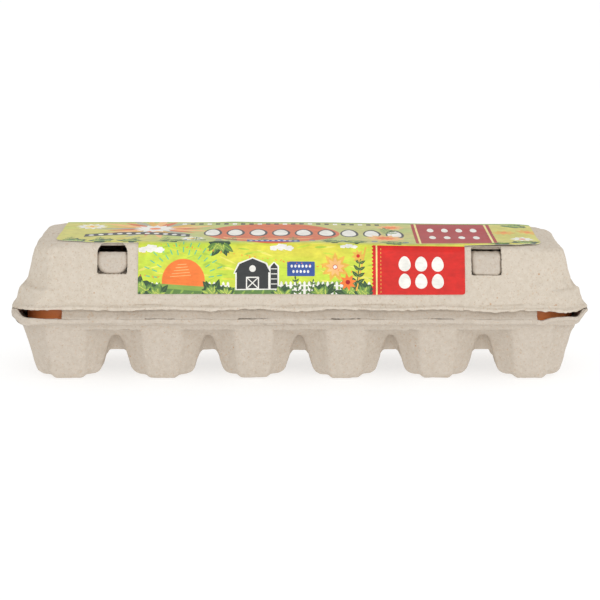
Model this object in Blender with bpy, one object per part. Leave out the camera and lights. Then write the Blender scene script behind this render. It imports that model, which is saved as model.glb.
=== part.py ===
"""Moulded-pulp carton for a dozen eggs, shut, with the eggs in it. Metres, +Z up, front at -Y.

The origin is the middle of the footprint. The tray is one sheet of pulp: twelve cups, the ridges and
posts between them, a lip all round, and a locking flap that stands up inside the lid's front wall.
The lid is a second shell that turns on the fold along the back, and a paper label is glued over it.
"""

import math
import random

import bmesh
import bpy
import numpy as np
from mathutils import Matrix, Vector

# The pack's layout.
COLUMNS = 6
ROWS = 2
PITCH_X = 0.0482
PITCH_Y = 0.047
END_COLUMN_SHIFT = 0.001
PULP = 0.0018

# A cup's outer wall. It leans out by its draft, and in plan it is a square with cut corners.
CUP_HALF_WIDTH = 0.0157
CUP_DRAFT = 0.281
CUP_CORNER_REACH = 0.0166
CUP_CORNER_DRAFT = 0.254
CUP_BOTTOM_RADIUS = 0.006
FOOT_HALF_WIDTH = 0.0072
FOOT_HEIGHT = 0.0016
FOOT_SLOPE_WIDTH = 0.0026

# The underside of the ridges between the cups.
SADDLE_Z = 0.0138
SADDLE_REACH = 0.0022
POST_TOP_Z = 0.0442
POST_TOP_RADIUS = 0.004
POST_SLOPE = 2.2
ARCH_Z = 0.0238
ARCH_REACH = 0.012
BAND_BOTTOM_Z = 0.0283

# The tray's lip, which drops at the front so that the corner eggs show.
LIP_HALF_LENGTH = 0.1507
LIP_HALF_DEPTH = 0.052
LIP_CORNER_RADIUS = 0.013
LIP_ROOT_Z = 0.0307
LIP_EDGE_HEIGHT = 0.0031
LIP_EDGE_THICKNESS = 0.0014
LIP_EDGE_ROUNDNESS = 0.0008
LIP_FLARE_WIDTH = 0.0042
RIM_Z = 0.0382
FRONT_RIM_Z = 0.0337
SCOOP_START_Y = -0.051
SCOOP_LENGTH = 0.017

# The lid, from its rim to its flat top.
LID_GAP = 0.0003
LID_RIM_Z = RIM_Z + LID_GAP
LID_TOP_Z = 0.072
FLANGE_THICKNESS = 0.0016
WALL_FOOT_Z = 0.0408
WALL_FOOT_HALF_LENGTH = 0.149
WALL_FOOT_HALF_DEPTH = 0.050
FRONT_LEAN = 0.36
END_LEAN = 0.258
SHOULDER_Z = 0.0494
SHOULDER_HEIGHT = 0.0022
SHOULDER_HALF_LENGTH = 0.1468
ABOVE_SHOULDER_HALF_LENGTH = 0.1436
TOP_BEND_Z = 0.0696
TOP_BEND_WIDTH = 0.0032
SOFT_BEND = 0.3
WALL_THICKNESS = 0.0019

# How far each level of the lid is cut across at its corners, and how much less on the inside.
RIM_CUT = 0.0115
SHOULDER_CUT = 0.0125
ABOVE_SHOULDER_CUT = 0.0112
BEND_CUT = 0.0076
TOP_CUT = 0.006
CUT_INSET = 0.0008
CORNER_BULGE = 0.11
OUTER_LEVELS = 8

# The two latch windows, and the flap's tongues behind them.
WINDOW_X = 0.0975
WINDOW_WIDTH = 0.0156
WINDOW_BOTTOM_Z = 0.0572
WINDOW_TOP_Z = 0.0701
FLAP_HALF_LENGTH = 0.1235
FLAP_THICKNESS = 0.0015
FLAP_ROOT_Z = 0.0316
FLAP_TOP_Z = 0.0425
TONGUE_TOP_Z = 0.0676
TONGUE_ROOT_WIDTH = 0.024
TONGUE_WIDTH = 0.0185
TONGUE_CORNER = 0.003
KNOB_WIDTH = 0.0138
KNOB_RISE = 0.0008
KNOB_TOP_BELOW_TIP = 0.0012

# The label: its top panel, and its narrower front panel that folds down over the edge.
LABEL_THICKNESS = 0.0003
LABEL_GAP = 0.0003
LABEL_HALF_LENGTH = 0.1272
LABEL_BACK_Y = 0.0356
LABEL_FRONT_HALF_LENGTH = 0.0852
LABEL_BOTTOM_Z = 0.0466

# The eggs stand with the small end down.
EGG_HEIGHT = 0.057
EGG_RADIUS = 0.0217
EGG_TAPER = 0.13
EGG_BOTTOM_Z = 0.0039
EGG_SPREAD = 0.02
EGG_TILT = math.radians(1.6)
EGG_SEED = 12
EGG_SEGMENTS = 16
EGG_LEVELS = 12

# The fold that the lid turns on, just behind and between the two rims.
HINGE_Y = LIP_HALF_DEPTH + 0.0003
HINGE_Z = RIM_Z + LID_GAP / 2

# How finely the tray is drawn: the spacing of its grid, and the share of faces kept on flat ground.
TRAY_GRID = 0.00105
TRAY_FACES_KEPT = 0.053

# The ball that gives the sheet its thickness, as rings of points at these shares of its radius.
BALL_RINGS = (0.35, 0.6, 0.8, 0.9, 0.963, 1.0)
BALL_STEPS = 16

TRAY_COLOR = (0.62, 0.55, 0.47, 1.0)
LID_COLOR = (0.66, 0.59, 0.50, 1.0)
LABEL_COLOR = (0.60, 0.74, 0.08, 1.0)
EGG_COLOR = (0.42, 0.15, 0.055, 1.0)
PULP_ROUGHNESS = 0.95
LABEL_ROUGHNESS = 0.35
EGG_ROUGHNESS = 0.5


def clear_scene():
    for obj in list(bpy.data.objects):
        bpy.data.objects.remove(obj, do_unlink=True)


def finish_material(name, color, roughness):
    material = bpy.data.materials.new(name)
    material.use_nodes = True
    shader = material.node_tree.nodes["Principled BSDF"]
    shader.inputs["Base Color"].default_value = color
    shader.inputs["Roughness"].default_value = roughness
    shader.inputs["Metallic"].default_value = 0.0
    return material


def new_object(name, vertices, faces, material):
    mesh = bpy.data.meshes.new(name)
    mesh.from_pydata([tuple(v) for v in vertices], [], [tuple(f) for f in faces])
    mesh.materials.append(material)
    obj = bpy.data.objects.new(name, mesh)
    bpy.context.scene.collection.objects.link(obj)
    return obj


def face_outwards(obj):
    bm = bmesh.new()
    bm.from_mesh(obj.data)
    bmesh.ops.recalc_face_normals(bm, faces=bm.faces)
    bm.to_mesh(obj.data)
    bm.free()


def shade(obj, angle=30):
    obj.data.shade_smooth()
    obj.data.set_sharp_from_angle(angle=math.radians(angle))


def apply_modifiers(obj):
    """Bakes the object's modifiers into its mesh."""
    graph = bpy.context.evaluated_depsgraph_get()
    baked = bpy.data.meshes.new_from_object(obj.evaluated_get(graph))
    obj.modifiers.clear()
    obj.data = baked


def boolean(obj, other, operation):
    """Joins other to obj, or cuts it from obj, and removes other."""
    modifier = obj.modifiers.new(operation.lower(), "BOOLEAN")
    modifier.operation = operation
    modifier.solver = "EXACT"
    modifier.object = other
    apply_modifiers(obj)
    bpy.data.objects.remove(other, do_unlink=True)


def smoothstep(t):
    t = np.clip(t, 0.0, 1.0)
    return t * t * (3 - 2 * t)


# The tray


def column_x(column):
    """The middle of a column of cups; the end columns stand a little further out."""
    x = (column - (COLUMNS - 1) / 2) * PITCH_X
    if column == 0:
        x -= END_COLUMN_SHIFT
    if column == COLUMNS - 1:
        x += END_COLUMN_SHIFT
    return x


def row_y(row):
    return (row - (ROWS - 1) / 2) * PITCH_Y


def nearest(values, places):
    """Distance from each value to the nearest of these places."""
    return np.min([np.abs(values - place) for place in places], axis=0)


def from_cup_centre(x, y):
    """Distances along X and Y from the middle of the nearest cup."""
    across = nearest(x, [column_x(column) for column in range(COLUMNS)])
    along = nearest(y, [row_y(row) for row in range(ROWS)])
    return across, along


def past_wall(across, along):
    """How far a point lies outside the foot of a cup's wall, from its distances to the cup's centre."""
    corner = ((across + along) / math.sqrt(2) - CUP_CORNER_REACH) * CUP_DRAFT / CUP_CORNER_DRAFT
    return np.maximum(np.maximum(across, along) - CUP_HALF_WIDTH, corner)


def cup_underside(x, y):
    """Height of the cups' outer surface: feet, a rounded bottom edge, then the leaning wall."""
    across, along = from_cup_centre(x, y)
    out = past_wall(across, along)
    wall_angle = math.atan(1 / CUP_DRAFT)
    tangent = CUP_BOTTOM_RADIUS * math.tan(wall_angle / 2)
    into_arc = np.clip(out + tangent, 0, tangent * (1 + math.cos(wall_angle)))
    arc = CUP_BOTTOM_RADIUS - np.sqrt(CUP_BOTTOM_RADIUS**2 - into_arc**2)
    height = np.where(out > tangent * math.cos(wall_angle), out / CUP_DRAFT, arc)
    off_foot = (np.minimum(across, along) - FOOT_HALF_WIDTH) / FOOT_SLOPE_WIDTH
    return height + FOOT_HEIGHT * smoothstep(off_foot)


def rim_height(y):
    """The lip's top: high at the ends and the back, low along the front."""
    return FRONT_RIM_Z + (RIM_Z - FRONT_RIM_Z) * smoothstep((y - SCOOP_START_Y) / SCOOP_LENGTH)


def ridge_underside(x, y):
    """Height of the sheet between the cups: saddles, posts, arches, the band below the lip, and the lip."""
    posts = [(column_x(column) + column_x(column + 1)) / 2 for column in range(COLUMNS - 1)]
    from_post = np.hypot(nearest(x, posts), y)
    post = POST_TOP_Z - np.maximum(from_post - POST_TOP_RADIUS, 0) * POST_SLOPE
    beyond_end = np.maximum(np.abs(x) - column_x(COLUMNS - 1), 0)
    beyond_side = np.maximum(np.abs(y) - row_y(ROWS - 1), 0)
    out = past_wall(beyond_end, beyond_side)
    saddle = SADDLE_REACH - CUP_HALF_WIDTH
    arch = ARCH_REACH - CUP_HALF_WIDTH
    band = BAND_BOTTOM_Z * CUP_DRAFT
    root = LIP_ROOT_Z * CUP_DRAFT
    ramp = np.interp(
        out,
        [saddle, arch, band, root],
        [SADDLE_Z, ARCH_Z, BAND_BOTTOM_Z, LIP_ROOT_Z],
    )
    flare = smoothstep((out - root) / LIP_FLARE_WIDTH)
    lip = (rim_height(y) - LIP_EDGE_HEIGHT - LIP_ROOT_Z) * flare
    return np.maximum(post, ramp + lip)


def tray_underside(x, y):
    return np.minimum(cup_underside(x, y), ridge_underside(x, y))


def from_lip_edge(x, y):
    """Distance in from the tray's outline."""
    beyond_x = np.abs(x) - (LIP_HALF_LENGTH - LIP_CORNER_RADIUS)
    beyond_y = np.abs(y) - (LIP_HALF_DEPTH - LIP_CORNER_RADIUS)
    corner = np.hypot(np.maximum(beyond_x, 0), np.maximum(beyond_y, 0))
    return LIP_CORNER_RADIUS - corner - np.minimum(np.maximum(beyond_x, beyond_y), 0)


def tray_upper_side(x, y):
    """The underside moved out by one sheet thickness: the highest of the balls that sit on it."""
    top = tray_underside(x, y) + PULP
    for share in BALL_RINGS:
        rise = PULP * math.sqrt(1 - share**2)
        for step in range(BALL_STEPS):
            turn = math.tau * step / BALL_STEPS
            dx = PULP * share * math.cos(turn)
            dy = PULP * share * math.sin(turn)
            top = np.maximum(top, tray_underside(x + dx, y + dy) + rise)
    behind_edge = np.maximum(from_lip_edge(x, y) - LIP_EDGE_THICKNESS, 0)
    return np.maximum(top, rim_height(y) - behind_edge**2 / (2 * LIP_EDGE_ROUNDNESS))


def lip_grid(spacing):
    """A grid of points over the tray's outline, a rectangle whose corners are drawn in to arcs."""
    across = round(2 * LIP_HALF_LENGTH / spacing)
    along = round(2 * LIP_HALF_DEPTH / spacing)
    x, y = np.meshgrid(
        np.linspace(-LIP_HALF_LENGTH, LIP_HALF_LENGTH, across + 1),
        np.linspace(-LIP_HALF_DEPTH, LIP_HALF_DEPTH, along + 1),
        indexing="ij",
    )
    a = np.clip((np.abs(x) - LIP_HALF_LENGTH) / LIP_CORNER_RADIUS + 1, 0, 1)
    b = np.clip((np.abs(y) - LIP_HALF_DEPTH) / LIP_CORNER_RADIUS + 1, 0, 1)
    x = x - np.sign(x) * LIP_CORNER_RADIUS * a * (1 - np.sqrt(1 - b**2 / 2))
    y = y - np.sign(y) * LIP_CORNER_RADIUS * b * (1 - np.sqrt(1 - a**2 / 2))
    return x, y


def build_tray(material):
    x, y = lip_grid(TRAY_GRID)
    lower = tray_underside(x, y)
    upper = tray_upper_side(x, y)
    columns, rows = x.shape
    points = np.concatenate(
        [
            np.stack([x, y, lower], axis=-1).reshape(-1, 3),
            np.stack([x, y, upper], axis=-1).reshape(-1, 3),
        ]
    )
    top = columns * rows
    index = np.arange(top).reshape(columns, rows)
    faces = []
    for i in range(columns - 1):
        for j in range(rows - 1):
            quad = (index[i, j], index[i + 1, j], index[i + 1, j + 1], index[i, j + 1])
            faces.append(quad[::-1])
            faces.append(tuple(top + corner for corner in quad))
    edge = [*index[:-1, 0], *index[-1, :-1], *index[:0:-1, -1], *index[0, :0:-1]]
    for here, there in zip(edge, edge[1:] + edge[:1]):
        faces.append((here, there, top + there, top + here))
    tray = new_object("tray", points, faces, material)
    fewer = tray.modifiers.new("fewer_faces", "DECIMATE")
    fewer.ratio = TRAY_FACES_KEPT
    apply_modifiers(tray)
    boolean(tray, build_flap(material), "UNION")
    shade(tray)
    return tray


def flap_y(z, depth=0.0):
    """Where the flap's front is at a height, just inside the lid's leaning front wall."""
    wall = WALL_FOOT_HALF_DEPTH - FRONT_LEAN * (z - WALL_FOOT_Z) - WALL_THICKNESS
    return -(wall - LID_GAP) + depth


def build_flap(material):
    """The locking flap: a low strip with a tall tongue at each window, and a knob on each tongue."""
    half_root = TONGUE_ROOT_WIDTH / 2
    half_tip = TONGUE_WIDTH / 2
    corner = TONGUE_CORNER
    outline = [(-FLAP_HALF_LENGTH, FLAP_ROOT_Z), (FLAP_HALF_LENGTH, FLAP_ROOT_Z)]
    outline.append((FLAP_HALF_LENGTH, FLAP_TOP_Z))
    for middle in (WINDOW_X, -WINDOW_X):
        outline += [
            (middle + half_root, FLAP_TOP_Z),
            (middle + half_tip, FLAP_TOP_Z + corner * 2),
            (middle + half_tip, TONGUE_TOP_Z - corner),
            (middle + half_tip - corner, TONGUE_TOP_Z),
            (middle - half_tip + corner, TONGUE_TOP_Z),
            (middle - half_tip, TONGUE_TOP_Z - corner),
            (middle - half_tip, FLAP_TOP_Z + corner * 2),
            (middle - half_root, FLAP_TOP_Z),
        ]
    outline.append((-FLAP_HALF_LENGTH, FLAP_TOP_Z))
    flap = extruded("flap", outline, 0.0, FLAP_THICKNESS, material)
    for middle in (WINDOW_X, -WINDOW_X):
        boolean(flap, build_knob(middle, material), "UNION")
    return flap


def extruded(name, outline, front, back, material):
    """A plate that follows the flap's slope, with this outline in X and Z."""
    count = len(outline)
    points = [(x, flap_y(z, front), z) for x, z in outline]
    points += [(x, flap_y(z, back), z) for x, z in outline]
    faces = [tuple(range(count)), tuple(range(2 * count - 1, count - 1, -1))]
    for k in range(count):
        after = (k + 1) % count
        faces.append((k, k + count, after + count, after))
    plate = new_object(name, points, faces, material)
    face_outwards(plate)
    return plate


def build_knob(middle, material):
    """A wedge that fills the window and is proud only near its top, so that the lid can lift past it."""
    half = KNOB_WIDTH / 2
    low = WINDOW_BOTTOM_Z + KNOB_RISE
    high = TONGUE_TOP_Z - KNOB_TOP_BELOW_TIP
    sides = [(low, 0.0), (high, -KNOB_RISE), (high + KNOB_RISE, 0.0)]
    points = []
    for x in (middle - half, middle + half):
        points += [(x, flap_y(z, rise), z) for z, rise in sides]
        points += [(x, flap_y(z, FLAP_THICKNESS / 2), z) for z in (sides[2][0], low)]
    faces = [(0, 1, 2, 3, 4), (9, 8, 7, 6, 5)]
    for k in range(5):
        after = (k + 1) % 5
        faces.append((k, k + 5, after + 5, after))
    knob = new_object("knob", points, faces, material)
    face_outwards(knob)
    return knob


# The lid


def front_wall(z):
    """Half depth of the lid's outer surface at a height on its front or back wall."""
    return WALL_FOOT_HALF_DEPTH - FRONT_LEAN * (z - WALL_FOOT_Z)


def end_wall(z):
    """Half length of the lid's outer surface at a height above its shoulder."""
    above = z - (SHOULDER_Z + SHOULDER_HEIGHT)
    return ABOVE_SHOULDER_HALF_LENGTH - END_LEAN * above


def ring(half_length, half_depth, cut, z):
    """A rectangle with cut corners, each cut bulging a little at its middle."""
    middle = cut * (0.5 - CORNER_BULGE)
    corner = [
        (half_length, half_depth - cut),
        (half_length - middle, half_depth - middle),
        (half_length - cut, half_depth),
    ]
    signs = [(1, 1), (-1, 1), (-1, -1), (1, -1)]
    points = []
    for k, (sx, sy) in enumerate(signs):
        turned = corner if k % 2 == 0 else corner[::-1]
        points += [(sx * px, sy * py, z) for px, py in turned]
    return points


def lid_rings():
    """The lid's outer surface from rim to top, then its inner surface from top to rim."""
    t = WALL_THICKNESS
    step = SHOULDER_Z + SHOULDER_HEIGHT
    bend = TOP_BEND_Z
    long = end_wall(bend)
    deep = front_wall(bend)
    flat_long = long - TOP_BEND_WIDTH
    flat_deep = deep - TOP_BEND_WIDTH
    soft = SOFT_BEND * TOP_BEND_WIDTH
    outer = [
        ring(LIP_HALF_LENGTH, LIP_HALF_DEPTH, RIM_CUT, LID_RIM_Z),
        ring(LIP_HALF_LENGTH, LIP_HALF_DEPTH, RIM_CUT, LID_RIM_Z + FLANGE_THICKNESS),
        ring(WALL_FOOT_HALF_LENGTH, WALL_FOOT_HALF_DEPTH, RIM_CUT, WALL_FOOT_Z),
        ring(SHOULDER_HALF_LENGTH, front_wall(SHOULDER_Z), SHOULDER_CUT, SHOULDER_Z),
        ring(ABOVE_SHOULDER_HALF_LENGTH, front_wall(step), ABOVE_SHOULDER_CUT, step),
        ring(long, deep, BEND_CUT, bend),
        ring(long - soft, deep - soft, BEND_CUT - soft, bend + (LID_TOP_Z - bend) / 2),
        ring(flat_long, flat_deep, TOP_CUT, LID_TOP_Z),
    ]
    under_bend = bend - t / 2
    under_step = step - t / 2
    under_shoulder = SHOULDER_Z - t / 2
    inner = [
        ring(flat_long - soft, flat_deep - soft, TOP_CUT - CUT_INSET, LID_TOP_Z - PULP),
        ring(end_wall(under_bend) - t, front_wall(under_bend) - t, BEND_CUT - CUT_INSET, under_bend),
        ring(
            ABOVE_SHOULDER_HALF_LENGTH - t,
            front_wall(under_step) - t,
            ABOVE_SHOULDER_CUT - CUT_INSET,
            under_step,
        ),
        ring(
            SHOULDER_HALF_LENGTH - t,
            front_wall(under_shoulder) - t,
            SHOULDER_CUT - CUT_INSET,
            under_shoulder,
        ),
        ring(WALL_FOOT_HALF_LENGTH - t, front_wall(LID_RIM_Z) - t, RIM_CUT - CUT_INSET, LID_RIM_Z),
    ]
    return outer + inner


def build_lid(material):
    rings = lid_rings()
    count = len(rings[0])
    points = [point for level in rings for point in level]
    faces = []
    for k in range(len(rings)):
        here = k * count
        there = (k + 1) % len(rings) * count
        if k == OUTER_LEVELS - 1:
            faces.append(tuple(range(here, here + count)))
            faces.append(tuple(range(there + count - 1, there - 1, -1)))
            continue
        for i in range(count):
            after = (i + 1) % count
            faces.append((here + i, here + after, there + after, there + i))
    lid = new_object("lid", points, faces, material)
    face_outwards(lid)
    for middle in (WINDOW_X, -WINDOW_X):
        boolean(lid, build_window_cutter(middle), "DIFFERENCE")
    shade(lid)
    return lid


def build_window_cutter(middle):
    bpy.ops.mesh.primitive_cube_add(size=1.0)
    cutter = bpy.context.object
    cutter.name = "window_cutter"
    height = WINDOW_TOP_Z - WINDOW_BOTTOM_Z
    inner = front_wall(WINDOW_TOP_Z) - WALL_THICKNESS
    depth = LIP_HALF_DEPTH - inner + WALL_THICKNESS
    cutter.location = (middle, -(inner + depth / 2), WINDOW_BOTTOM_Z + height / 2)
    cutter.scale = (WINDOW_WIDTH, depth + WALL_THICKNESS, height)
    return cutter


# The label


def label_profile():
    """The lid's outer surface from the label's back edge to its bottom edge, as points (y, z)."""
    bend = front_wall(TOP_BEND_Z)
    soft = SOFT_BEND * TOP_BEND_WIDTH
    return [
        (LABEL_BACK_Y, LID_TOP_Z),
        (-(bend - TOP_BEND_WIDTH), LID_TOP_Z),
        (-(bend - soft), (TOP_BEND_Z + LID_TOP_Z) / 2),
        (-bend, TOP_BEND_Z),
        (-front_wall(LABEL_BOTTOM_Z), LABEL_BOTTOM_Z),
    ]


def offset_profile(profile, distance):
    """The profile moved outwards, each point along the mean of its neighbouring edges' normals."""
    moved = []
    for k, point in enumerate(profile):
        here = Vector(point)
        edges = []
        if k > 0:
            edges.append((here - Vector(profile[k - 1])).normalized())
        if k < len(profile) - 1:
            edges.append((Vector(profile[k + 1]) - here).normalized())
        normals = [Vector((edge.y, -edge.x)) for edge in edges]
        mean = sum(normals, Vector((0, 0))).normalized()
        moved.append(here + mean * distance / mean.dot(normals[0]))
    return moved


def build_label(material):
    profile = offset_profile(label_profile(), LABEL_GAP)
    lines = [-LABEL_HALF_LENGTH, -LABEL_FRONT_HALF_LENGTH, LABEL_FRONT_HALF_LENGTH, LABEL_HALF_LENGTH]
    points = [(x, y, z) for x in lines for y, z in profile]
    count = len(profile)
    faces = []
    for i in range(3):
        last = count - 1 if i == 1 else 1
        for k in range(last):
            a = i * count + k
            faces.append((a, a + 1, a + 1 + count, a + count))
    bm = bmesh.new()
    verts = [bm.verts.new(point) for point in points]
    for face in faces:
        bm.faces.new([verts[corner] for corner in face])
    loose = [vert for vert in bm.verts if not vert.link_faces]
    bmesh.ops.delete(bm, geom=loose, context="VERTS")
    bmesh.ops.recalc_face_normals(bm, faces=bm.faces)
    if max(bm.faces, key=lambda face: face.calc_center_median().z).normal.z < 0:
        bmesh.ops.reverse_faces(bm, faces=bm.faces)
    mesh = bpy.data.meshes.new("label")
    bm.to_mesh(mesh)
    bm.free()
    mesh.materials.append(material)
    label = bpy.data.objects.new("label", mesh)
    bpy.context.scene.collection.objects.link(label)
    thick = label.modifiers.new("paper", "SOLIDIFY")
    thick.thickness = LABEL_THICKNESS
    thick.offset = 1.0
    thick.use_even_offset = True
    return label


# The eggs


def egg_points(height, radius, segments, rings):
    """An egg about its own middle, small end down, from pole to pole."""
    points = [(0.0, 0.0, -height / 2)]
    for k in range(1, rings):
        angle = math.pi * k / rings
        reach = radius * math.sin(angle) * (1 - EGG_TAPER * math.cos(angle))
        for i in range(segments):
            turn = math.tau * i / segments
            points.append((reach * math.cos(turn), reach * math.sin(turn), -height / 2 * math.cos(angle)))
    points.append((0.0, 0.0, height / 2))
    return points


def build_egg(name, x, y, draw, material):
    segments = EGG_SEGMENTS
    rings = EGG_LEVELS
    height = EGG_HEIGHT * (1 - EGG_SPREAD * draw.random())
    radius = EGG_RADIUS * (1 - EGG_SPREAD * draw.random())
    points = egg_points(height, radius, segments, rings)
    last = len(points) - 1
    faces = []
    for i in range(segments):
        after = (i + 1) % segments
        faces.append((0, 1 + after, 1 + i))
        for k in range(rings - 2):
            low = 1 + k * segments
            high = low + segments
            faces.append((low + i, low + after, high + after, high + i))
        top = 1 + (rings - 2) * segments
        faces.append((top + i, top + after, last))
    egg = new_object(name, points, faces, material)
    egg.location = (x, y, EGG_BOTTOM_Z + height / 2)
    tilt = draw.uniform(-EGG_TILT, EGG_TILT)
    lean = draw.uniform(-EGG_TILT, EGG_TILT)
    egg.rotation_euler = (tilt, lean, draw.uniform(0, math.tau))
    egg.data.shade_smooth()
    return egg


def build_eggs(material):
    draw = random.Random(EGG_SEED)
    for row, side in enumerate(("front", "back")):
        for column in range(COLUMNS):
            name = f"egg_{side}_{column + 1}"
            build_egg(name, column_x(column), row_y(row), draw, material)


def hang_on_hinge(pieces):
    """Puts what moves with the lid under an empty on the fold line."""
    hinge = bpy.data.objects.new("lid_hinge", None)
    hinge.location = (0.0, HINGE_Y, HINGE_Z)
    bpy.context.scene.collection.objects.link(hinge)
    for piece in pieces:
        piece.parent = hinge
        piece.matrix_parent_inverse = Matrix.Translation(-hinge.location)


def main():
    clear_scene()
    build_tray(finish_material("tray_pulp", TRAY_COLOR, PULP_ROUGHNESS))
    build_eggs(finish_material("eggshell", EGG_COLOR, EGG_ROUGHNESS))
    lid = build_lid(finish_material("lid_pulp", LID_COLOR, PULP_ROUGHNESS))
    label = build_label(finish_material("label_paper", LABEL_COLOR, LABEL_ROUGHNESS))
    hang_on_hinge([lid, label])


main()
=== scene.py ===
"""The looks of a moulded-pulp carton for a dozen brown eggs, shut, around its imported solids.

Metres, +Z up, front at -Y. The pulp shells, the eggs and the label are modelled again at full detail
where their solids are, and a folded strip of pulp joins the lid to the tray along the back.
"""

import math

import bpy
import numpy as np
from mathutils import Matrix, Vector
from mathutils.geometry import delaunay_2d_cdt


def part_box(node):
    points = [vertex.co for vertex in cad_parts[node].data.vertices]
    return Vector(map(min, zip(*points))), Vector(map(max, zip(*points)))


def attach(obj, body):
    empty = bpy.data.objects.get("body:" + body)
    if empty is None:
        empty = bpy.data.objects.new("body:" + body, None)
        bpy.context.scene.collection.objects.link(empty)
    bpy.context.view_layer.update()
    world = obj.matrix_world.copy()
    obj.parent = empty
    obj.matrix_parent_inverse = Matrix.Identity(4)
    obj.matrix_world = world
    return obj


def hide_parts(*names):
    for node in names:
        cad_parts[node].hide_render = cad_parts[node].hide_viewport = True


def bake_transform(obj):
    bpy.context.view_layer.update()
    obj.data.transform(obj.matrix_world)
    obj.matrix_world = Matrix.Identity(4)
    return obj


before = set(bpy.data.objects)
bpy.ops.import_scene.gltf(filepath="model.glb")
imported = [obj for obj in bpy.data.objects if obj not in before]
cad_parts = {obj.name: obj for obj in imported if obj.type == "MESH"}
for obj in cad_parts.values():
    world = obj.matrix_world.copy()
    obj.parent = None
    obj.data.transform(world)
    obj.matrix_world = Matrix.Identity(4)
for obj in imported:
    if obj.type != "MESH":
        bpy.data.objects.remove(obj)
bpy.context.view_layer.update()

TRAY_LOW, TRAY_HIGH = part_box("tray")
LID_LOW, LID_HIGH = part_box("lid")
MM = 0.001

# The tray's layout and its cups, as in the solids.
COLUMNS = 6
ROWS = 2
PITCH_X = 0.0482
PITCH_Y = 0.047
END_COLUMN_SHIFT = 0.001
PULP = 0.0018
CUP_HALF_WIDTH = 0.0157
CUP_DRAFT = 0.281
CUP_CORNER_REACH = 0.0168
CUP_CORNER_DRAFT = 0.254
CUP_BOTTOM_RADIUS = 0.0054
CUP_EDGE_SOFTNESS = 0.0005
LEFT_CUP_WIDENING = 0.0011
FOOT_HALF_WIDTH = 0.0060
FOOT_HEIGHT = 0.0021
SIDE_ARM_RISE = 0.0013
FOOT_SLOPE_WIDTH = 0.0044
SADDLE_Z = 0.0134
SADDLE_REACH = 0.0022
POST_TOP_Z = 0.0442
POST_TOP_RADIUS = 0.004
POST_SLOPE = 2.2
ARCH_Z = 0.0227
ARCH_REACH = 0.0102
ARCH_BACK_Z = 0.0229
ARCH_BACK_REACH = 0.0042
BAND_BOTTOM_Z = 0.0277
RIDGE_SOFTNESS = 0.0026
ARCH_SOFTNESS = 0.0080
LEDGE_SOFTNESS = 0.0003
LEDGE_GROOVE_WIDTH = 0.0016
LEDGE_GROOVE_HEIGHT = 0.0019

# The tray's lip.
LIP_HALF_LENGTH = TRAY_HIGH.x
LIP_HALF_DEPTH = TRAY_HIGH.y
LIP_CORNER_RADIUS = 0.013
LIP_ROOT_Z = 0.0303
LIP_EDGE_HEIGHT = 0.0026
LIP_EDGE_THICKNESS = 0.0014
RIGHT_LIP_THINNING = 0.0009
LEFT_LIP_THICKENING = 0.0014
LIP_EDGE_ROUNDNESS = 0.0008
LIP_ROLL = 0.00035
LIP_ROLL_STEPS = 5
LIP_FLARE_WIDTH = 0.0042
FLAP_SHELF = 0.0022
LIP_WIDTH = 0.0046
RIM_Z = 0.0382
FRONT_RIM_Z = 0.0342
RIGHT_CORNER_X = (0.122, 0.126, 0.130, 0.134, 0.139, 0.144, 0.150)
RIGHT_CORNER_LIFT = (0.0, -0.5, 0.6, 1.1, 1.0, 0.6, 0.5)
LEFT_CORNER_LIFT = 0.0008
# Waves along the front rim: height in mm, metres for each radian, and phase.
RIM_WAVES = ((0.14, 0.011, 0.6), (0.1, 0.0043, 0.0), (0.06, 0.0017, 0.0))
SCOOP_START_Y = -0.0512
SCOOP_RIGHT_SHIFT = 0.0008
SCOOP_LENGTH = 0.0060

# The lid, from its rim to its flat top.
LID_RIM_Z = LID_LOW.z
LID_TOP_Z = LID_HIGH.z
FLANGE_THICKNESS = 0.0015
WALL_FOOT_Z = 0.0408
WALL_FOOT_HALF_LENGTH = 0.149
WALL_FOOT_HALF_DEPTH = 0.050
FRONT_LEAN = 0.36
END_LEAN = 0.225
SHOULDER_Z = 0.0484
SHOULDER_HEIGHT = 0.0010
SHOULDER_HALF_LENGTH = 0.1468
ABOVE_SHOULDER_HALF_LENGTH = 0.1436
TOP_BEND_Z = 0.0696
TOP_BEND_WIDTH = 0.0032
SOFT_BEND = 0.3
WALL_THICKNESS = 0.0019
RIM_CUT = 0.0115
SHOULDER_CUT = 0.0127
ABOVE_SHOULDER_CUT = 0.0137
BEND_CUT = 0.0085
TOP_CUT = 0.0066
CUT_INSET = 0.0008
CORNER_BULGE = 0.05
CORNER_BEVEL = 0.0004
CORNER_PINCH = 0.00022

# The latch windows and the flap behind them.
WINDOW_X = 0.0975
WINDOW_WIDTH = 0.0156
WINDOW_BOTTOM_Z = 0.0572
WINDOW_TOP_Z = 0.0701
# Each window: how far its bottom is lower, how far its top is higher, and its corner radii, in mm.
LEFT_WINDOW = (0.4, 2.2, (0.8, 4.6, 4.8, 0.8))
RIGHT_WINDOW = (1.1, -0.1, (0.6, 0.8, 0.8, 0.6))
FLAP_HALF_LENGTH = 0.1235
FLAP_THICKNESS = 0.0015
FLAP_ROOT_Z = 0.0322
FLAP_FLARE = 0.0014
FLAP_FLARE_TOP_Z = 0.0370
FLAP_TOP_Z = 0.0425
TONGUE_TOP_Z = 0.0676
TONGUE_ROOT_WIDTH = 0.024
TONGUE_WIDTH = 0.0185
TONGUE_CORNER = 0.0032
LID_GAP = 0.0003
SLIT_LENGTH = 0.0158
SLIT_BOTTOM_Z = 0.0338
SLIT_TOP_Z = 0.03455
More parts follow.
